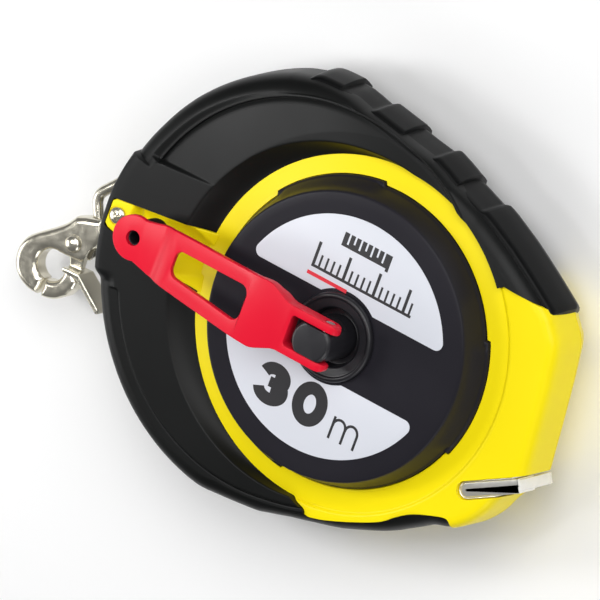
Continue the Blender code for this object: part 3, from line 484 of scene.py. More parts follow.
def moulded(name, colour, vary, rough, grain_size, grain_deep, specular=0.5):
    """Moulded plastic or rubber: a slow drift of colour and gloss and a fine etched grain."""
    material, tree, shader = new_material(name, colour, rough, specular=specular)
    slow = noise(tree, 28.0, 4.0)
    fine = noise(tree, 1000.0 / grain_size, 2.0)
    tint(tree, shader, slow, [c * (1 - vary) for c in colour],
         [min(1.0, c * (1 + vary)) for c in colour])
    tree.links.new(spread(tree, slow, rough - 0.03, rough + 0.03), shader.inputs["Roughness"])
    grain(tree, shader, fine, 0.35, grain_deep)
    return material


def metal(name, colour, rough, scratch=(1, 1, 1), scratch_size=0.5, deep=0.004, metallic=0.8):
    """Plated or drawn metal with handling marks and fine lines."""
    material, tree, shader = new_material(name, colour, rough, metallic)
    marks = noise(tree, 420.0, 5.0)
    lines = noise(tree, 1000.0 / scratch_size, 3.0, scratch)
    tint(tree, shader, marks, [c * 0.93 for c in colour], colour)
    tree.links.new(spread(tree, marks, rough * 0.8, rough * 1.35), shader.inputs["Roughness"])
    grain(tree, shader, lines, 0.25, deep)
    return material


def painted(name, colour, rough):
    """Powder coat on pressed steel: orange peel and a clear coat's shine."""
    material, tree, shader = new_material(name, colour, rough, specular=0.18)
    peel = noise(tree, 900.0, 2.0)
    slow = noise(tree, 60.0, 3.0)
    tint(tree, shader, slow, [c * 0.96 for c in colour], colour)
    tree.links.new(spread(tree, slow, rough - 0.04, rough + 0.04), shader.inputs["Roughness"])
    grain(tree, shader, peel, 0.3, 0.02)
    shader.inputs["Coat Weight"].default_value = 0.04
    shader.inputs["Coat Roughness"].default_value = 0.25
    return material


# colour, drift of the colour, roughness, grain size and depth, specular level
MOULDED = {
    "yellow_abs": ((0.96, 0.78, 0.004), 0.012, 0.36, 0.5, 0.012, 0.18),
    "black_rubber": ((0.0044, 0.0048, 0.0047), 0.06, 0.42, 0.35, 0.03, 0.19),
    "grip_rubber": ((0.0042, 0.0044, 0.0046), 0.06, 0.36, 0.4, 0.02, 0.09),
    "graphite_abs": ((0.0165, 0.0155, 0.0205), 0.05, 0.36, 0.45, 0.03, 0.14),
    "hub_abs": ((0.0125, 0.012, 0.015), 0.05, 0.38, 0.5, 0.012),
    "black_knob": ((0.015, 0.012, 0.010), 0.06, 0.4, 0.5, 0.01),
    "white_label": ((0.66, 0.68, 0.74), 0.01, 0.4, 0.6, 0.004),
    "dark_print": ((0.022, 0.021, 0.024), 0.05, 0.42, 0.4, 0.004),
    "red_print": ((0.72, 0.015, 0.035), 0.03, 0.42, 0.4, 0.004),
    "yellow_blade": ((0.86, 0.66, 0.03), 0.02, 0.35, 0.8, 0.004),
    "nylon": ((0.72, 0.71, 0.66), 0.02, 0.45, 0.6, 0.01),
    "felt": ((0.12, 0.12, 0.11), 0.2, 0.95, 0.12, 0.15, 0.2),
}
MATERIALS = {name: moulded(name, *look) for name, look in MOULDED.items()}
MATERIALS["red_paint"] = painted("red_paint", (0.72, 0.008, 0.030), 0.36)
MATERIALS["polished"] = metal("polished", (0.93, 0.92, 0.89), 0.16, deep=0.0008, metallic=0.68)
MATERIALS["nickel"] = metal("nickel", (0.78, 0.74, 0.62), 0.2, metallic=0.84)
MATERIALS["steel"] = metal("steel", (0.62, 0.62, 0.61), 0.28, (1, 1, 12), 0.8)


# ---- black front skin
def block_top(x):
    """Upper border of the raised block at the left end."""
    return 21.3 + (x + 98.0) * 2.9 / 31.3


def block_low(x):
    return -22.8 - 0.208 * (x + 96.7)


def fall_height(x, y):
    """Height of the crown's plane: level on the block, falling away above it."""
    rho = np.hypot(x, y)
    width = 0.3 + 1.5 * np.clip((-66.0 - x) / 32.0, 0, 1)
    above = smooth(0, width, y - block_top(x))
    return FACE - above * 0.085 * np.clip(rho - 69.0, 0, 40)


def face_height(x, y):
    """Height of the black face inside the groove; it sinks to the yellow ring's level at the right."""
    right = smooth(-112.0, -76.0, -np.degrees(np.arctan2(y, x))) * (y > 0)
    return fall_height(x, y) - 2.3 * right


def in_block(x, y):
    """1 on the raised block, 0 outside it."""
    upper = 1 - smooth(-0.1, 0.5, y - block_top(x))
    lower = 1 - smooth(-0.1, 0.6, block_low(x) - y)
    return upper * lower


# (inset, rise over the parting plane) up the side, on the shoulder band and on the block
BAND_SHOULDER = [(0.0, 0.15), (0.02, 5), (0.08, 9), (0.2, 11.5), (0.45, 13.4), (0.9, 15.0), (1.6, 16.3),
                 (2.5, 17.3), (3.6, 18.05), (4.8, 18.6), (6.0, 19.0)]
BLOCK_SHOULDER = [(0.0, 0.15), (0.0, 5), (0.0, 10), (0.02, 14), (0.08, 16.4), (0.3, 17.9), (0.7, 18.8),
                  (1.3, 19.45), (2.1, 19.8), (3.2, 19.96), (5.0, 20.0)]


# across the groove, outside to inside: place, (share of the lip's height, rise) above the block,
# rise below it
GROOVE_STEP = [
    (0.62, (1, 0.0), -1.12), (0.4, (1, -0.05), -1.25), (0.28, (1, -0.2), -1.4), (0.2, (0.6, -0.3), -1.42),
    (0.1, (0.15, -0.5), -1.2), (0.0, (0, -0.55), -0.7), (-0.14, (0, -0.52), -0.2),
    (-0.4, (0, -0.42), -0.05), (-0.9, (0, -0.2), 0.0), (-1.5, (0, -0.07), 0.0), (-2.3, (0, 0.0), 0.0)]


def black_face():
    """Rubber skin over the front: dished collar, crescent face, groove, shoulder band, block."""
    edge = SPOKE * EDGE[:, None]
    foot = 1 - smooth(-0.2, 3.4, block_low(edge[:, 0]) - edge[:, 1])
    block = in_block(edge[:, 0], np.maximum(edge[:, 1], block_low(edge[:, 0]))) * foot * (edge[:, 0] < 0)
    groove_r = GROOVE[2] + 1.2 * smooth(100, 78, 180 - np.abs(180 - np.mod(PHI, 360)))
    groove = ray_circle(PHI, GROOVE[0], GROOVE[1], groove_r)
    collar = ray_circle(PHI, *COLLAR)
    groove = np.maximum(groove, collar + 1.5)
    shoulder_deep = np.minimum(1.0, (EDGE - groove - 1.6) / (6.2 * STRETCH))
    shoulder_deep = np.maximum(shoulder_deep, 0.35)
    levels = []
    for (inset_a, rise_a), (inset_b, rise_b) in zip(BAND_SHOULDER, BLOCK_SHOULDER):
        inset = mix(inset_a * shoulder_deep, inset_b, block)
        levels.append((inside(inset), MID + mix(rise_a, rise_b, block)))
    end_rho, end_z = levels[-1]

    def height_at(rho, function):
        return function(SPOKE[:, 0] * rho, SPOKE[:, 1] * rho)

    angle = np.mod(PHI, 360.0)
    lower = smooth(178.0, 186.0, angle) * (1 - smooth(330.0, 340.0, angle))
    crown = mix(0.45, -0.3, 1 - smooth(95.0, 112.0, angle))

    def groove_level(step, above, below):
        """One ring of the step: `above` is the rise over the block, `below` under it."""
        rho = groove + step
        x, y = SPOKE[:, 0] * rho, SPOKE[:, 1] * rho
        upper = mix(face_height(x, y), fall_height(x, y) + crown, above[0]) + above[1]
        free = 1 - in_block(x, y) * (x < -60)
        return rho, mix(FACE, mix(upper, FACE + below, lower), free)

    lip_rho, lip_z = groove_level(1.0, (1, 0.0), -1.05)
    for t in np.linspace(0.15, 0.9, 6):
        levels.append((mix(end_rho, lip_rho, t), mix(end_z, lip_z, smooth(0, 1, t))))
    levels.append((lip_rho, lip_z))
    levels += [groove_level(*row) for row in GROOVE_STEP]
    start = levels[-1][0]
    for t in np.linspace(0.03, 1.0, 26):
        rho = mix(start, collar + 0.35, t)
        levels.append((rho, height_at(rho, face_height)))
    crest = height_at(collar, face_height)
    levels.append((collar + 0.1, crest - 0.06))
    levels.append((collar - 0.15, crest - 0.3))
    for t in np.linspace(0.08, 1.0, 12):
        rho = mix(collar - 0.15, RING_R - 0.5, t)
        levels.append((rho, FACE - 4.0 + (crest - 0.3 - FACE + 4.0) * (1 - t) ** 1.7))
    count = len(levels)
    rings = []
    for k, (rho, z) in enumerate(levels):
        least = RING_R - 0.6 + 0.01 * (count - k)
        rings.append(ring_at(np.maximum(rho, least), z))
    inner = RING_R - 0.8
    rings.append(ring_at(inner, FACE - 4.3))
    rings.append(ring_at(inner, FACE - 6.3))
    rings.append(ring_at(inside(5.2), FACE - 6.3))
    rings.append(ring_at(inside(2.6), FACE - 9.0))
    rings.append(ring_at(inside(2.5), MID + PART_GAP))
    skin = loft("front_skin", rings, closed=True)
    minus(skin, prism("plan", yellow_outline(0.12), *FRONT_CUT), prism("tab", tab_outline(0.12), *FRONT_CUT))
    minus(skin, side_slot(5, 7))
    finish_piece(skin, "black_rubber", "case", "front_rubber")


def side_slot(under, over):
    """Opening in the left end for the hook's ring, from under to over the parting plane."""
    plan = [(-87.8, -19), (-87.8, 12.5), (-110, 20), (-110, -30)]
    return prism("slot", plan, MID - under, MID + over)


# ---- yellow front
NOSE_SHOULDER = [(0.0, 0.15), (0.0, 5), (0.0, 10), (0.03, 13.4), (0.18, 15.0), (0.55, 16.25), (1.15, 17.1),
                 (1.95, 17.65), (2.9, 17.93), (4.2, 18.0)]


def ring_edge_height():
    """Height of the yellow ring's outer edge: lowest at the left, near the nose's level at the right."""
    return FACE - 4.0 + 1.25 * smooth(-0.2, 0.75, np.cos(np.radians(PHI + 18)))


def yellow_front():
    """Nose, lower border and the ring round the gear cover."""
    levels = [(inside(inset), MID + rise) for inset, rise in NOSE_SHOULDER]
    end = levels[-1][0]
    for t in np.linspace(0.08, 1.0, 14):
        levels.append((mix(end, RING_R + 1.6, t), NOSE))
    edge = ring_edge_height()
    levels += [(RING_R + 1.1, NOSE - 0.12), (RING_R + 0.75, NOSE - 0.4),
               (RING_R + 0.55, mix(edge, NOSE, 0.25)),
               (RING_R + 0.3, edge + 0.02), (RING_R, edge)]
    inner_z = NOSE - 0.3
    for t in np.linspace(0.1, 0.93, 9):
        levels.append((mix(RING_R, COVER_FOOT + 0.25, t), mix(edge, inner_z, t)))
    levels += [(COVER_FOOT + 0.45, inner_z - 0.1), (COVER_FOOT + 0.25, inner_z - 0.4),
               (COVER_FOOT + 0.2, inner_z - 3), (50.3, inner_z - 3.4), (50.3, 31)]
    count = len(levels)
    rings = [ring_at(np.maximum(rho, 50.0 + 0.01 * (count - k)) if k < 25 else rho, z)
             for k, (rho, z) in enumerate(levels)]
    rings.append(ring_at(inside(8.0), 31.5))
    rings.append(ring_at(inside(3.2), 29.0))
    rings.append(ring_at(inside(3.0), MID + PART_GAP))
    shell = loft("yellow_front", rings, closed=True)
    common(shell, prism("plan", yellow_outline(), *FRONT_CUT))
    minus(shell, mouth_cutter(*FRONT_CUT), lobe_seat())
    finish_piece(shell, "yellow_abs", "case", "front_case", sharp=40)


def lobe_window(phi, half=23.0, edge=0.35):
    """1 inside the three bayonet lobes, 0 outside."""
    away = np.abs((np.asarray(phi) + 60) % 120 - 60)
    return 1 - smooth(half - edge, half + edge, away)


def lobe_seat():
    """Room for the lobes in the yellow ring."""
    phi = np.arange(0, 360, 0.5)
    spoke = spokes(phi)
    rho = COVER_FOOT + 0.2 + (LOBE_OUT + 0.1) * lobe_window(phi, 23.4)
    return loft("seat", [ring_at(rho, 34.5, spoke), ring_at(rho, 60.0, spoke)])


def slot_bend(radius):
    """The half circle round the slot's inner end."""
    return [slot_frame(*point) for point in arc((0, 0), radius, 90, 270, 25)]


def mouth_cutter(low, high):
    """Round-ended mouth slot."""
    outline = slot_bend(SLOT_HALF) + [slot_frame(40, -SLOT_HALF), slot_frame(40, SLOT_HALF)]
    return prism("mouth", outline, low, high)


def inner_shell():
    """Hidden part of the front shell, under the rubber."""
    rings = [ring_at(inside(2.8), MID + PART_GAP), ring_at(inside(2.9), MID + 8),
             ring_at(inside(5.6), FACE - 6.7), ring_at(51.0, FACE - 6.7),
             ring_at(51.0, FACE - 9.0), ring_at(inside(8.0), FACE - 9.0),
             ring_at(inside(5.6), FACE - 11.0), ring_at(inside(5.4), MID + PART_GAP)]
    shell = loft("inner_shell", rings, closed=True)
    minus(shell, mouth_cutter(*FRONT_CUT), side_slot(5, 7))
    finish_piece(shell, "yellow_abs", "case")


def tab_outline(grow=0.0):
    """Plan of the wedge-shaped yellow tab that carries the case screw."""
    shape = arc((-98.3, 2.5), 1.2, 90, 180, 5) + arc((-98.4, -5.7), 1.1, 180, 262, 5)
    shape += [(-93, -8.1), (-58, -13.2), (-54, -13.8), (-54, 9.4), (-58, 8.8)]
    return offset(shape, grow)


def tab_height(x, y):
    """Flat at the screw, then a round-bottomed trough that runs down to the ring."""
    centre = -0.6 - 0.03 * (x + 92)
    trough = 4.9 * smooth(-91.8, -88.6, x) * (1 - np.clip(np.abs(y - centre) / 9.5, 0, 1) ** 2.2)
    fall = 3.2 * smooth(-72.0, -57.5, x)
    return FACE - 0.35 - np.maximum(trough, fall)


def yellow_tab():
    """Wedge tab under the knob, with its trough and rounded border."""
    xs = np.concatenate([[-99.55, -99.5, -99.3, -99.0], np.linspace(-98.6, -92.4, 14),
                         np.linspace(-92.1, -87.0, 22), np.linspace(-86.5, -54.2, 60)])
    rings = []
    for x in xs:
        low, high = np.interp(x, [-99.6, -98.2, -93, -54], [-5.6, -6.9, -8.1, -13.8]), \
            np.interp(x, [-99.6, -98.2, -58, -54], [2.5, 3.75, 8.8, 9.3])
        y = np.concatenate([low + np.array([0, 0.04, 0.15, 0.4]), np.linspace(low + 0.7, high - 0.7, 34),
                            high - np.array([0.4, 0.15, 0.04, 0])])
        side = np.minimum(y - low, high - y)
        near = np.minimum(side, x + 99.6)
        z = tab_height(np.full_like(y, x), y) - 0.45 * (1 - np.sqrt(1 - (1 - np.clip(near / 0.5, 0, 1)) ** 2))
        top = np.column_stack([np.full_like(y, x), y, z])
        rings.append(np.vstack([top, [(x, high, FACE - 6.5), (x, low, FACE - 6.5)]]))
    tab = loft("screw_tab", rings)
    sink = turned("sink", [(0, FACE - 0.8), (3.35, FACE - 0.8), (3.6, FACE + 1), (0, FACE + 1)], SCREW, 48)
    minus(tab, sink, prism("disc", circle((0, 0), RING_R - 1.5, 160), *FRONT_CUT))
    finish_piece(tab, "yellow_abs", "case", sharp=40)


# ---- grip
PADS = [(-52.0, -35.5), (-23.0, -8.5), (4.5, 17.5), (28.5, 68.0)]
GRIP_FROM, GRIP_TO = -51.9, 68.3
GRIP_LOW, GRIP_HIGH = 11.7, 35.6
PAD_LOW, PAD_RISE = 0.45, 1.7


def grip_pad():
    """Ribbed hand grip: raised and low pads by turns, crowned across the case's thickness."""
    phi = np.arange(20.0, 130.0, 0.02)
    rho, _ = outline_on(phi)
    track = spokes(phi) * rho[:, None]
    x = track[:, 0]
    stations = set(np.arange(GRIP_FROM, GRIP_TO, 0.7))
    for start, end in PADS:
        stations |= {start + d for d in (-0.2, 0, 0.2, 0.5, 0.9, 1.5, 2.2)}
        stations |= {end - d for d in (-0.9, -0.5, -0.2, 0, 0.2, 0.5, 0.9)}
    stations |= {GRIP_FROM, GRIP_FROM + 0.05, GRIP_FROM + 0.3, GRIP_TO - 0.4, GRIP_TO - 0.1, GRIP_TO}
    order = np.argsort(x)
    stations = np.array(sorted(s for s in stations if GRIP_FROM <= s <= GRIP_TO))
    place = np.stack([np.interp(stations, x[order], track[order, 0]),
                      np.interp(stations, x[order], track[order, 1])], 1)
    along = unit(np.gradient(place, axis=0))
    normal = np.stack([-along[:, 1], along[:, 0]], 1)
    rise = np.zeros(len(stations))
    for start, end in PADS:
        lead_in, ramp = (0.2, 2.6) if start > -40 else (0.5, 9)
        up = smooth(start - lead_in, start + ramp, stations)
        down = 1 - smooth(end - 0.25, end + 0.25, stations)
        rise = np.maximum(rise, up * down)
    ends = (smooth(GRIP_FROM, GRIP_FROM + 6.0, stations)
            * (1 - 0.8 * smooth(GRIP_TO - 2.6, GRIP_TO, stations) ** 2))
    t = np.concatenate([np.linspace(0, 0.03, 7)[:-1], np.linspace(0.03, 0.9, 22),
                        np.linspace(0.9, 1, 12)[1:]])
    z = GRIP_LOW + (GRIP_HIGH - GRIP_LOW) * t
    taper = -np.interp(MID - z, [rise for _, rise in REAR_TAPER], [inset for inset, _ in REAR_TAPER])
    front = -0.8 * smooth(MID + 2, GRIP_HIGH + 1, z) ** 1.5
    edge = np.clip(np.minimum(t / 0.03, (1 - t) / 0.1), 0, 1)
    round_edge = np.sqrt(1 - (1 - edge) ** 2)
    belly = 1 - 0.4 * ((z - MID - 3) / 13.5) ** 2
    rings = []
    for i in range(len(stations)):
        lip = mix(-1.4, PAD_LOW, ends[i])
        out = lip + taper + front + PAD_RISE * rise[i] * ends[i] * round_edge * belly + 0.5 * (round_edge - 1)
        section = np.column_stack([place[i, 0] + normal[i, 0] * out, place[i, 1] + normal[i, 1] * out, z])
        inner = [(place[i, 0] + d * normal[i, 0], place[i, 1] + d * normal[i, 1], h)
                 for d, h in ((-3.0, GRIP_HIGH), (-6.5, GRIP_LOW))]
        rings.append(np.vstack([section, inner]))
    pad = loft("ribbed_grip", rings)
    finish_piece(pad, "grip_rubber", "case", "grip_pad", slot="black_rubber", sharp=50)


# ---- gear cover and labels
def gear_cover():
    """Domed disc with three bayonet lobes on its foot."""
    phi = np.arange(0, 360, 0.5)
    spoke = spokes(phi)
    foot = COVER_FOOT + LOBE_OUT * lobe_window(phi)
    levels = [(foot, 34.8), (foot, 38.0), (foot - 0.1, 38.45), (foot - 0.35, 38.75)]
    swell = (LOBE_OUT + 0.1) * lobe_window(phi, 21.5, 3.5)
    levels += [(mix(COVER_FOOT - 0.5, COVER_R + 0.35, t) + swell * (1 - smooth(-0.25, 0.8, t)),
                mix(38.95, DISC - 0.75, t)) for t in np.linspace(0, 1, 11)]
    levels += [(COVER_R + 0.22, DISC - 0.45), (COVER_R, DISC - 0.2), (COVER_R - 0.3, DISC - 0.06),
               (COVER_R - 0.75, DISC), (46.0, DISC), (38.0, DISC), (28.0, DISC), (18.0, DISC), (14.3, DISC),
               (14.0, DISC - 0.3), (14.0, 45.4), (47.6, 45.4), (50.2, 38.6), (50.2, 34.8)]
    cover = loft("cover_disc", [ring_at(rho, z, spoke) for rho, z in levels], closed=True)
    finish_piece(cover, "graphite_abs", "case", "gear_cover", sharp=40)


def label_outline(sign, level):
    """Circle segment with rounded corners, cut round the hub; sign -1 is the lower one."""
    outer, corner, hub = 42.0, 2.6, 16.6
    reach = degrees(asin((abs(level) + corner) / (outer - corner)))
    right = ((outer - corner) * cos(radians(reach)), abs(level) + corner)
    shape = arc(right, corner, -90, reach, 9)
    shape += arc((0, 0), outer, reach + 1.5, 178.5 - reach, 70)
    shape += arc((-right[0], right[1]), corner, 180 - reach, 270, 9)
    bite = degrees(asin(abs(level) / hub))
    shape += arc((0, 0), hub, 180 - bite, bite, 21)
    if sign < 0:
        shape = [(x, -y) for x, y in reversed(shape)]
    return shape


def labels():
    for name, node, sign, level in (("upper_panel", "upper_label", 1, 12.7),
                                    ("lower_panel", "lower_label", -1, -14.2)):
        panel = prism(name, label_outline(sign, level), DISC - 0.25, LABEL_TOP, 0.03)
        finish_piece(panel, "white_label", "case", node)


def stroke(path, width):
    """Outline of a thick pen stroke along a path, counter-clockwise."""
    p = np.array(path, float)
    along = unit(np.gradient(p, axis=0))
    side = np.stack([-along[:, 1], along[:, 0]], 1) * (np.broadcast_to(width, (len(p),))[:, None] / 2)
    return [tuple(v) for v in np.vstack([p - side, (p + side)[::-1]])]


def figure_three(x, y, wide, high, pen):
    """A bold 3 from two stroked bows."""
    r_top, r_low = high * 0.25, high * 0.285
    top = (x + wide * 0.47, y + high - pen / 2 - (r_top - pen * 0.12))
    low = (x + wide * 0.47, y + pen / 2 + (r_low - pen * 0.2))
    bow_top = [(top[0] + wide * 0.33 * cos(a), top[1] + (r_top - pen * 0.12) * sin(a))
               for a in np.radians(np.linspace(165, -90, 30))]
    bow_low = [(low[0] + wide * 0.37 * cos(a), low[1] + (r_low - pen * 0.2) * sin(a))
               for a in np.radians(np.linspace(90, -168, 34))]
    bar = [(x + wide * 0.36, y + high * 0.53), (x + wide * 0.55, y + high * 0.53)]
    return [stroke(bow_top, pen), stroke(bow_low, pen), stroke(bar, pen * 0.86)]


def figure_zero(x, y, wide, high, pen):
    """A bold 0: an upright oval stroke, as two halves."""
    centre = (x + wide / 2, y + high / 2)
    half_wide, half_high = (wide - pen) / 2, (high - pen * 0.85) / 2
    return [stroke([(centre[0] + half_wide * cos(a), centre[1] + half_high * sin(a))
                    for a in np.radians(np.linspace(start, start + 190, 40))], pen) for start in (-95, 85)]


def letter_m(x, y, wide, high, pen):
    """A light lower-case m, the unit sign for metres."""
    left, middle = x + pen / 2, x + wide / 2
    r = (middle - left) / 2
    strokes = [stroke([(left, y), (left, y + high)], pen)]
    for start in (left, middle):
        bow = [(start + r - r * cos(a), y + high - pen / 2 - r * 1.1 + r * 1.1 * sin(a))
               for a in np.radians(np.linspace(20, 180, 16))]
        strokes.append(stroke([(start, y + high - r * 1.5)] + bow + [(start + 2 * r, y)], pen))
    return strokes


INK = (LABEL_TOP - 0.05, LABEL_TOP + 0.03)


def print_piece(name, outlines, finish, slot):
    """Ink a thickness above the panel."""
    body = None
    for outline in outlines:
        part = prism(name, outline, *INK)
        body = plus(body, part) if body else part
    finish_piece(body, finish, "case", slot=slot)


def prints():
    """Length marking, red bar and a plain ruler pictogram."""
    figures = figure_three(-21.6, -33.0, 13.0, 15.2, 4.3) + figure_zero(-6.6, -33.0, 13.6, 15.2, 4.5)
    print_piece("length_figures", figures, "dark_print", "graphite_abs")
    print_piece("length_unit", letter_m(10.4, -33.0, 11.0, 8.2, 0.95), "dark_print", "graphite_abs")
    bar = [(-18.0, 15.6), (-1.6, 15.6), (-1.6, 16.9), (-18.0, 16.9)]
    print_piece("red_bar", [bar], "red_print", "red_paint")
    ticks = []
    for i in range(17):
        x = -17.4 + i * 2.5
        tall = 9.2 if i % 5 == 0 else 5.2
        wide = 1.15 if i % 5 == 0 else 0.8
        ticks.append([(x, 18.6), (x + wide, 18.6), (x + wide, 18.6 + tall), (x, 18.6 + tall)])
    ticks.append([(-17.4, 18.6), (24.0, 18.6), (24.0, 19.6), (-17.4, 19.6)])
    print_piece("scale_marks", ticks, "dark_print", "graphite_abs")
    blade = [(-9.5, 30.2), (9.0, 30.2), (9.0, 29.2), (10.2, 29.2), (10.2, 35.2), (-9.5, 35.2)]
    piece = prism("blade_sign", blade, *INK)
    for i in range(7):
        x = -7.6 + i * 2.4
        tall = 2.6 if i % 2 == 0 else 1.6
        minus(piece, prism("nick", [(x, 33.9 - tall), (x + 0.7, 33.9 - tall), (x + 0.7, 36), (x, 36)],
                           LABEL_TOP - 1, LABEL_TOP + 1))
    finish_piece(piece, "dark_print", "case", slot="graphite_abs")


# ---- crank
def pin_bore():
    """Bore for the arm's hinge pin."""
    bore = turned("bore", [(0, -20), (2.05, -20), (2.05, 20), (0, 20)], steps=32)
    turn_mesh(bore, pi / 2, "X")
    return move_mesh(bore, *PIN)


def crank_hub():
    """Hub with a rim, a step, a round recess and the flat-sided post."""
    rim = z_range("hub_screw")[1] + 8.0
    profile = [(0, 36.9), (22, 36.9), (22, 40.4), (13.7, 41.4), (13.7, DISC + 0.25), (15.5, DISC + 0.25),
               (15.5, rim - 0.9), (14.9, rim), (13.9, rim), (13.5, rim - 0.55), (10.6, rim - 0.75),
               (10.0, rim - 1.6), (9.7, 45.6), (7.5, 45.6), (7.5, ARM_TOP - 0.3), (6.6, ARM_TOP + 0.6),
               (0, ARM_TOP + 0.7)]
    hub = turned("crank_boss", rounded(profile, 0.45), steps=128)
    for sign in (1, -1):
        flat = [(-12, sign * 5.3), (12, sign * 5.3), (12, sign * 9.0), (-12, sign * 9.0)]
        minus(hub, prism("flat", flat if sign > 0 else flat[::-1], 51.8, 80))
    minus(hub, pin_bore())
    finish_piece(hub, "hub_abs", "crank", "crank_hub", slot="graphite_abs", sharp=30)


def arm_plan():
    """Plan of the crank arm's outer edge, counter-clockwise from the upper tine."""
    upper = [(7.7, 6.2), (7.5, 7.2), (6.9, 8.0), (5.6, 8.5), (4.6, 8.6), (-12, 8.6), (-13.6, 8.95),
             (-15.5, 9.8), (-19.5, 11.6), (-21.0, 12.1), (-22.5, 12.25), (-24.5, 12.2), (-54, 10.7),
             (-63, 10.15), (-67, 9.7), (-70, 9.3), (-73.5, 8.35)]
    tip = arc((KNOB_X, 0), 8.0, 72, 288, 40)
    lower = [(x, -y) for x, y in reversed(upper)]
    return upper + tip + lower


def arm_level(x):
    """Front of the pressed sheet along the arm: level fork, long slope, jog, level tip."""
    return ARM_TOP - np.interp(x, [-90, -69.0, -68.2, -67.2, -66.0, -65.0, -64.0, -31, -29, -26, 9],
                               [7.5, 7.5, 7.4, 7.05, 6.45, 6.05, 5.8, 0.45, 0.2, 0, 0])


def crank_arm():
    """Pressed arm: fork with deep flanges, long window, jogged tip with the knob's hole."""
    sheet = 2.3
    stretches = ((-90, -69, 4), (-69, -64, 12), (-64, -31, 4), (-31, -26, 5), (-20, 4.5, 4))
    xs = np.unique(np.concatenate([np.linspace(*stretch) for stretch in stretches]))
    nose = [(6.0, 0.25), (7.1, 1.0), (7.8, 2.2)]
    flange = [(-18.5, 4.5), (-16.5, 5.8), (-15.5, 6), (4.5, 6), (6.4, 5.4), (7.5, 4.0)]
    top = [(x, arm_level(x)) for x in xs] + [(x, ARM_TOP - drop) for x, drop in nose]
    under = [(x, arm_level(x) - sheet) for x in xs if x <= -21] + [(x, ARM_TOP - drop) for x, drop in flange]
    arm = prism("pressed_arm", arm_plan()[::-1], 45, 75)
    side = prism("side", (top[::-1] + under), -30, 30)
    turn_mesh(side, pi / 2, "X")
    common(arm, side)
    slot = [(20, 5.6), (-8.8, 5.6), (-9.4, 5.3), (-9.8, 4.6), (-9.8, -4.6), (-9.4, -5.3), (-8.8, -5.6),
            (20, -5.6)]
    minus(arm, prism("slot", slot, 40, 80))
    window = (arc((-58, 1.9), 3.0, 90, 180, 9) + arc((-58, -1.9), 3.0, 180, 270, 9)
              + arc((-31.7, -3.5), 3.0, 270, 360, 9) + arc((-31.7, 3.5), 3.0, 0, 90, 9))
    minus(arm, prism("window", window, 40, 80))
    under = [(-20, -5.6), (-15.5, -5.6), (-15.5, 5.6), (-20, 5.6)]
    minus(arm, prism("under", under, 50, ARM_TOP - sheet))
    soften_edges(arm, 0.4, 38)
    minus(arm, turned("hole", [(0, 40), (2.7, 40), (2.7, 70), (0, 70)], (KNOB_X, 0), 48))
    minus(arm, pin_bore())
    finish_piece(arm, "red_paint", "arm", "crank_arm", sharp=40)


def knob():
    """Turned knob with a waist, a flared foot and a rounded crown."""
    low, high = KNOB_LOW, KNOB_HIGH
    profile = [(4.2, low), (4.9, low), (5.2, low + 0.8), (5.2, low + 4.6), (4.8, low + 6.6), (4.65, low + 8),
               (4.8, high - 1.6), (4.6, high), (2.7, high), (2.7, low + 1.4), (4.2, low + 1.4)]
    body = turned("turned_knob", rounded(profile, 0.5), (KNOB_X, 0), 72)
    finish_piece(body, "black_knob", "knob", "crank_knob")


def knob_rivet():
    low, high = z_range("knob_rivet")
    profile = [(0, low), (3.8, low), (3.8, low + 0.8), (2.55, low + 0.8), (2.55, high), (2.35, high),
               (2.1, high - 0.5), (2.1, low + 1.4), (0, low + 1.4)]
    rivet = turned("hollow_rivet", rounded(profile, 0.15, 3), (KNOB_X, 0), 48)
    finish_piece(rivet, "hub_abs", "arm", "knob_rivet", slot="steel")


# ---- screws
def dome(radius, base, rise, start, end, count):
    """Profile of a domed head between two angles in degrees; a negative rise makes a foot."""
    return [(radius * cos(a), base + rise * sin(a)) for a in np.radians(np.linspace(start, end, count))]


def cross_screw(name, node, at, profile, top, spin, flip=False):
    """Pan-head screw with a tapered cross recess."""
    screw = turned(name, profile, at, 48)
    for turn in (spin, spin + pi / 2):
        rings = []
        for reach, half, z in ((0.5, 0.2, -1.5), (1.9, 0.38, 0.0), (2.2, 0.45, 1.0)):
            z = top - z if flip else top + z
            rings.append([(-reach, -half, z), (reach, -half, z), (reach, half, z), (-reach, half, z)])
        bar = loft("bar", rings)
        turn_mesh(bar, turn, "Z")
        minus(screw, move_mesh(bar, at[0], at[1], 0))
    finish_piece(screw, "nickel" if node == "tab_screw" else "steel", "case", node, sharp=30)


def screws():
    top = SCREW_TOP
    seat = top - 1.55
    low = z_range("tab_screw")[0]
    profile = [(0, low), (1.4, low), (1.4, seat), (2.9, seat)]
    profile += dome(3.0, seat + 0.35, 1.2, 0, 88, 10) + [(0, top)]
    cross_screw("pan_screw", "tab_screw", SCREW, profile, top, 0.6)
    for number, node in enumerate(CASE_SCREWS, 1):
        face, high = z_range(node)
        profile = [(0, face)] + dome(2.7, face + 0.9, -0.9, 88, 0, 8)
        profile += [(2.7, face + 1.9), (1.4, face + 1.9), (1.4, high), (0, high)]
        cross_screw(f"rear_screw_{number}", node, centre_mm(node)[:2], profile, face, 0.3 * number, flip=True)


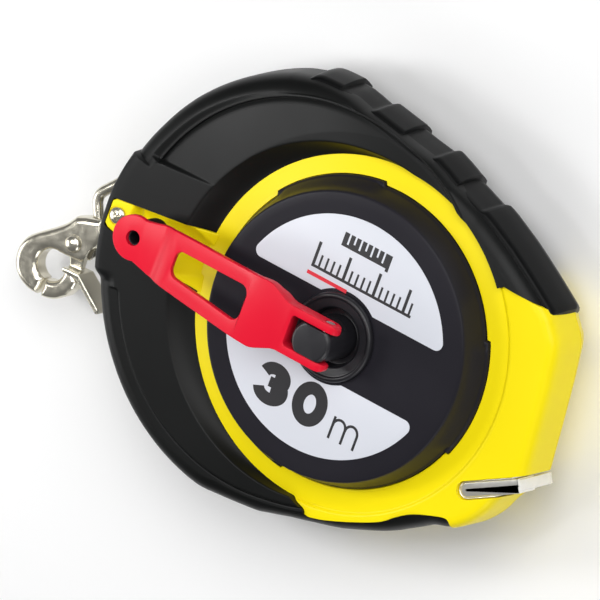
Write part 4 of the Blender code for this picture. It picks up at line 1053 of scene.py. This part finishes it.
# ---- mouth
def mouth_metal():
    """Polished liner in the slot and the folded claw on the tape's end."""
    low, high = z_range("throat_liner")

    def capsule(outer, inner, lower_to, upper_to):
        """A U round the slot's inner end: lower leg and upper leg with their own lengths."""
        return (slot_bend(outer) + [slot_frame(lower_to, -outer), slot_frame(lower_to, -inner)]
                + slot_bend(inner)[::-1] + [slot_frame(upper_to, inner), slot_frame(upper_to, outer)])

    liner = prism("slot_liner", capsule(SLOT_HALF - 0.2, SLOT_HALF - 0.7, 10.5, 18.0), low, high, 0.25)
    window = [slot_frame(*at) for at in ((-8, -2.3), (-0.2, -2.3), (-0.2, 2.3), (-8, 2.3))]
    minus(liner, prism("window", window, MID - 7, MID + 7))
    finish_piece(liner, "polished", "case", "throat_liner", slot="nickel")

    claw = prism("tape_claw", rounded(capsule(2.5, 0.12, 20.2, 20.2), 0.08, 2), MID + 5.5, high + 0.2, 0.3)
    block = [slot_frame(*at) for at in ((17.4, -1.9), (20.4, -1.9), (20.4, 2.2), (17.4, 2.2))]
    plus(claw, prism("block", rounded(block, 0.4, 3), MID - 6.4, high - 0.5, 0.5))
    finish_piece(claw, "polished", "tape_end", "end_hook", slot="nickel", sharp=50)


# ---- hook
RING_HINGE_X = centre_mm("ring_bracket")[0] + 0.6
RING_PLAN = [(-115.2, -5.2), (-105.0, 6.6), (RING_HINGE_X, 6.6), (RING_HINGE_X, -12.6), (-106.6, -22.1)]
EYE = (-120.9, -34.6)


def bent_path(corners, radius, steps=8):
    """Closed path through corner points, each turned into a bend."""
    path = []
    for i, here in enumerate(corners):
        point = np.array(here, float)
        a = point + unit(np.array(corners[i - 1], float) - point) * radius
        b = point + unit(np.array(corners[(i + 1) % len(corners)], float) - point) * radius
        path += [tuple((1 - t) ** 2 * a + 2 * t * (1 - t) * point + t * t * b)
                 for t in np.linspace(0, 1, steps + 1)]
    return path


def leg_point(along, across=0.0):
    """A point beside the ring's outer leg: along it from the outer corner, and across."""
    top, low = np.array(RING_PLAN[0]), np.array(RING_PLAN[-1])
    direction = unit(low - top)
    return tuple(top + direction * along + np.array((-direction[1], direction[0])) * across)


def rounded_plate(name, outline, half, soft):
    """Plate about the parting plane with its edges rounded; outline counter-clockwise."""
    rings = []
    for k in range(-5, 6):
        turn = radians(18 * abs(k))
        height = 0.0 if k == 0 else copysign(half - soft + soft * sin(turn), k)
        inset = soft * (1 - cos(turn))
        rings.append([(x, y, MID + height) for x, y in offset(outline, -inset)])
    return loft(name, rings)


def hook_ring():
    path = [(x, y, MID) for x, y in bent_path(RING_PLAN, 3.6)]
    ring = tube("wire_ring", path, (1.95, 1.68), sides=24)
    finish_piece(ring, "nickel", "ring", "hook_ring")


def hook_body():
    """Forged snap hook: eye on the ring's leg, cheeks round the gate's tongue, open round hook."""
    eye = [leg_point(8.4, 3.5), leg_point(14.4, 3.5)]
    cheek = [(-106.2, -22.3), (-107.2, -26.2), (-110.6, -28.8), (-116.4, -29.2)]
    outer = [(-122.6, -46.4), (-126.4, -46.2), (-130.6, -44.4), (-133.6, -41.3), (-134.9, -37.4),
             (-134.8, -33.4), (-133.2, -29.6), (-129.6, -26.0), (-124.8, -22.1), (-121.0, -18.6),
             (-118.2, -14.6)]
    shape = eye + cheek + arc(EYE, 5.4, 80, 262, 26) + curve_through(outer, 4) + [leg_point(7.2, -3.4)]
    body = rounded_plate("forged_hook", shape[::-1], 4.15, 2.3)
    tunnel = [(4, 2.1), (15.6, 2.1), (16.6, 2.3), (17.6, 3.1), (18.6, 4.3), (24, 7.0)]
    rings = []
    for along, radius in tunnel:
        x, y = leg_point(along)
        side = np.array(leg_point(along, 1.0)) - np.array((x, y))
        rings.append([(x + radius * cos(a) * side[0], y + radius * cos(a) * side[1],
                       MID + radius * sin(a)) for a in np.radians(np.arange(0, 360, 12))])
    minus(body, loft("tunnel", rings))
    fan = arc(RIVET, 7.4, -120, 100, 24) + [(RIVET[0] - 5.6, RIVET[1] + 3), (RIVET[0] - 6, RIVET[1] - 3)]
    minus(body, prism("slot", fan, MID - 2.4, MID + 2.4))
    low_slot = [(-122, -27.6), (-122, -34), (-104, -34), (-104, -27.6)]
    minus(body, prism("low_slot", low_slot, MID - 2.4, MID + 2.4))
    forge(body, 4)
    finish_piece(body, "nickel", "hook", "hook_body", sharp=60)


def hook_gate():
    """Gate with its tongue on the rivet and the bent thumb lever."""
    outer = [*arc(EYE, 11.9, 268.5, 300, 6), (-111.6, -42.2), (-109.6, -38.6), (-109.2, -35.6)]
    plan = outer + [(-112.4, -32.6), (-115.6, -32.8)] + arc(EYE, 5.4, 350, 268.5, 14)
    gate = rounded_plate("hook_latch", plan, 3.9, 2.2)
    tongue = [(-118.4, -25.6), *arc(RIVET, 4.2, 200, -20, 20), (-110.6, -33.6), (-114.4, -34.6)]
    plus(gate, prism("tongue", tongue[::-1], MID - 2.1, MID + 0.6))
    lever = [(-115.4, -34.0), (-115.8, -32.6), (-109.0, -32.2), (-97.4, -40.2), (-97.0, -41.6),
             (-97.9, -42.0), (-109.4, -34.2)]
    plus(gate, prism("lever", lever[::-1], MID - 5.4, MID + 5.4))
    forge(gate, 3)
    finish_piece(gate, "nickel", "gate", "hook_gate", sharp=60)


def hook_rivet():
    low, top = z_range("hook_rivet")
    profile = [(0, low)] + dome(2.8, low + 1.1, -1.1, 88, 0, 8) + [(2.0, low + 1.1), (2.0, top - 1.5)]
    profile += dome(3.0, top - 1.5, 1.5, 0, 88, 10) + [(0, top)]
    rivet = turned("domed_rivet", profile, RIVET, 48)
    finish_piece(rivet, "nickel", "hook", "hook_rivet")


# ---- back
# (inset, depth under the parting plane) down the side of the back
REAR_TAPER = [(0.0, 0.15), (1.6, 4), (4.0, 9), (6.2, 13), (7.4, 14.9), (8.8, 16.5), (10.2, 17.9),
              (11.8, 19.0), (13.2, 19.7), (15.0, 20.0)]
PAN_R = 54.0             # round pan of the back


def rear_levels():
    """Rings of the tapered back, from the parting plane to the flat floor."""
    levels = [(inside(inset), MID - rise) for inset, rise in REAR_TAPER]
    return levels + [(mix(levels[-1][0], 20.0, t), 0.0) for t in (0.1, 0.3, 0.6, 1.0)]


def rear_holes(shell, top=12.0):
    """Counterbores for the case screws."""
    profile = [(0, -5), (3.4, -5), (3.1, 1), (3.1, top), (0, top)]
    for node in CASE_SCREWS:
        minus(shell, turned("hole", profile, centre_mm(node)[:2], 32))


def rear_skin():
    """Rubber round the rim and over the tapered edge of the back."""
    levels = rear_levels() + [(20.0, 2.2), (inside(15.0), 2.2), (inside(11.2), 4.4),
               (inside(6.5), 10.0), (inside(2.5), MID - PART_GAP)]
    skin = loft("rear_skin", [ring_at(rho, z) for rho, z in levels], closed=True)
    minus(skin, prism("plan", yellow_outline(0.15, BACK_RING_R), *BACK_CUT), side_slot(7, 5))
    minus(skin, prism("pan", circle((DRUM_X, 0), PAN_R + 0.15, 180), -5, 9))
    rear_holes(skin)
    finish_piece(skin, "black_rubber", "case", "rear_rubber")


def rear_shell():
    """Yellow back: nose, and the round pan with its raised rim and stiffening steps."""
    levels = rear_levels() + [(20.0, 3.0), (inside(15.4), 3.0), (inside(12.0), 5.0),
               (inside(7.0), 10.5), (inside(3.0), MID - PART_GAP)]
    shell = loft("rear_shell", [ring_at(rho, z) for rho, z in levels], closed=True)
    common(shell, prism("plan", yellow_outline(0, BACK_RING_R), *BACK_CUT))
    minus(shell, mouth_cutter(*BACK_CUT))
    minus(shell, prism("pan", circle((DRUM_X, 0), PAN_R - 1.4, 180), -5, 9))
    rear_holes(shell)
    finish_piece(shell, "yellow_abs", "case", "rear_case", sharp=40)
    profile = [(0, 0.7), (16, 0.7), (17, 0.1), (21, 0.1), (22, 0.9), (34, 0.9), (35, 0.1), (51.4, 0.1),
               (52.5, 0.15), (53.4, 0.8), (PAN_R, 1.4), (PAN_R, 5.6), (49, 5.6), (47, 3.0), (9.4, 3.0),
               (9.0, 4.6), (4.2, 4.6), (4.2, 1.6), (0, 1.6)]
    pan = turned("rear_pan", rounded(profile, 0.5), (DRUM_X, 0), 160)
    finish_piece(pan, "yellow_abs", "case", sharp=40)


# ---- everything else
def paint_frame():
    """Give each CAD node that stays in view its material."""
    for row in frame["record"]["subparts"]:
        node = frame["nodes"][row["node"]]
        if node.hide_render:
            continue
        finish = MATERIALS[row["material_slot"]]
        node.data.materials.clear()
        node.data.materials.append(finish)


# name, place, target, size and share of each panel
PANELS = [("key", (-245, -5, 330), (-60, 55, 40), 85, 0.34),
          ("front", (450, 500, 800), (0, 0, 30), 900, 0.62),
          ("top", (0, 600, 1000), (0, 0, 30), 800, 0.30),
          ("low_right", (600, -600, 500), (0, 0, 30), 500, 0.26),
          ("low_left", (-700, -300, 350), (0, 0, 30), 400, 0.28),
          ("overhead", (-90, 20, 520), (37, 45, 38), 60, 0.09)]


def studio():
    """Pale floor, white surroundings and soft panels."""
    scene = bpy.context.scene
    scene.view_settings.view_transform = "Standard"
    world = bpy.data.worlds.new("studio")
    scene.world = world
    world.use_nodes = True
    nodes, links = world.node_tree.nodes, world.node_tree.links
    place = shader_node(world.node_tree, "TexCoord")
    toward = shader_node(world.node_tree, "VectorMath")
    toward.operation = "DOT_PRODUCT"
    toward.inputs[1].default_value = Vector((-0.38, -0.30, 0.87)).normalized()
    dim = shader_node(world.node_tree, "MapRange", From_Min=-0.1, From_Max=0.8, To_Min=0.12, To_Max=0.03)
    dim.interpolation_type = "SMOOTHSTEP"
    links.new(place.outputs["Generated"], toward.inputs[0])
    links.new(toward.outputs["Value"], dim.inputs["Value"])
    links.new(dim.outputs["Result"], nodes["Background"].inputs["Strength"])
    nodes["Background"].inputs["Color"].default_value = (1, 1, 1, 1)

    mesh = bpy.data.meshes.new("floor")
    half, drop = 4.0, -0.0006
    corners = [(-half, -half, drop), (half, -half, drop), (half, half, drop), (-half, half, drop)]
    mesh.from_pydata(corners, [], [(0, 1, 2, 3)])
    floor = bpy.data.objects.new("floor", mesh)
    scene.collection.objects.link(floor)
    pale, tree, shader = new_material("pale_floor", (0.93, 0.93, 0.93), 0.8)
    tint(tree, shader, noise(tree, 3.0), (0.925, 0.925, 0.925), (0.935, 0.935, 0.935))
    mesh.materials.append(pale)

    for lamp in PANELS:
        panel(*lamp)


def panel(name, place, target, size, share):
    """Square area light that faces a target; share 1 lights it as a white sky would."""
    reach = (Vector(place) - Vector(target)).length * MM
    lamp = bpy.data.lights.new(name, "AREA")
    lamp.size = size * MM
    lamp.energy = share * (pi * reach) ** 2
    thing = bpy.data.objects.new(name, lamp)
    bpy.context.scene.collection.objects.link(thing)
    thing.location = Vector(place) * MM
    aim = (Vector(target) - Vector(place)).normalized()
    thing.rotation_euler = aim.to_track_quat("-Z", "Y").to_euler()


def camera():
    """Long lens from the front right, rolled as a hand-held product shot."""
    toward = Vector((0.4013, 0.3026, 0.8646)).normalized()
    image_up = Vector((-0.435, 0.894, -0.111)).normalized()
    image_right = image_up.cross(toward).normalized()
    distance, view_wide = 7000.0, 202.9
    shift_right, shift_up = -11.6, 12.5
    aim = Vector((0, 0, DISC)) + shift_right * image_right + shift_up * image_up
    lens = bpy.data.cameras.new("camera")
    lens.sensor_width = 36.0
    lens.lens = lens.sensor_width * distance / view_wide
    lens.clip_end = 40.0
    thing = bpy.data.objects.new("camera", lens)
    bpy.context.scene.collection.objects.link(thing)
    turn = Matrix((image_right, image_up, toward)).transposed().to_4x4()
    thing.matrix_world = Matrix.Translation((aim + toward * distance) * MM) @ turn
    bpy.context.scene.camera = thing


camera()
studio()
black_face()
yellow_front()
inner_shell()
yellow_tab()
grip_pad()
gear_cover()
labels()
prints()
crank_hub()
crank_arm()
knob()
knob_rivet()
screws()
mouth_metal()
hook_ring()
hook_body()
hook_gate()
hook_rivet()
rear_skin()
rear_shell()
paint_frame()
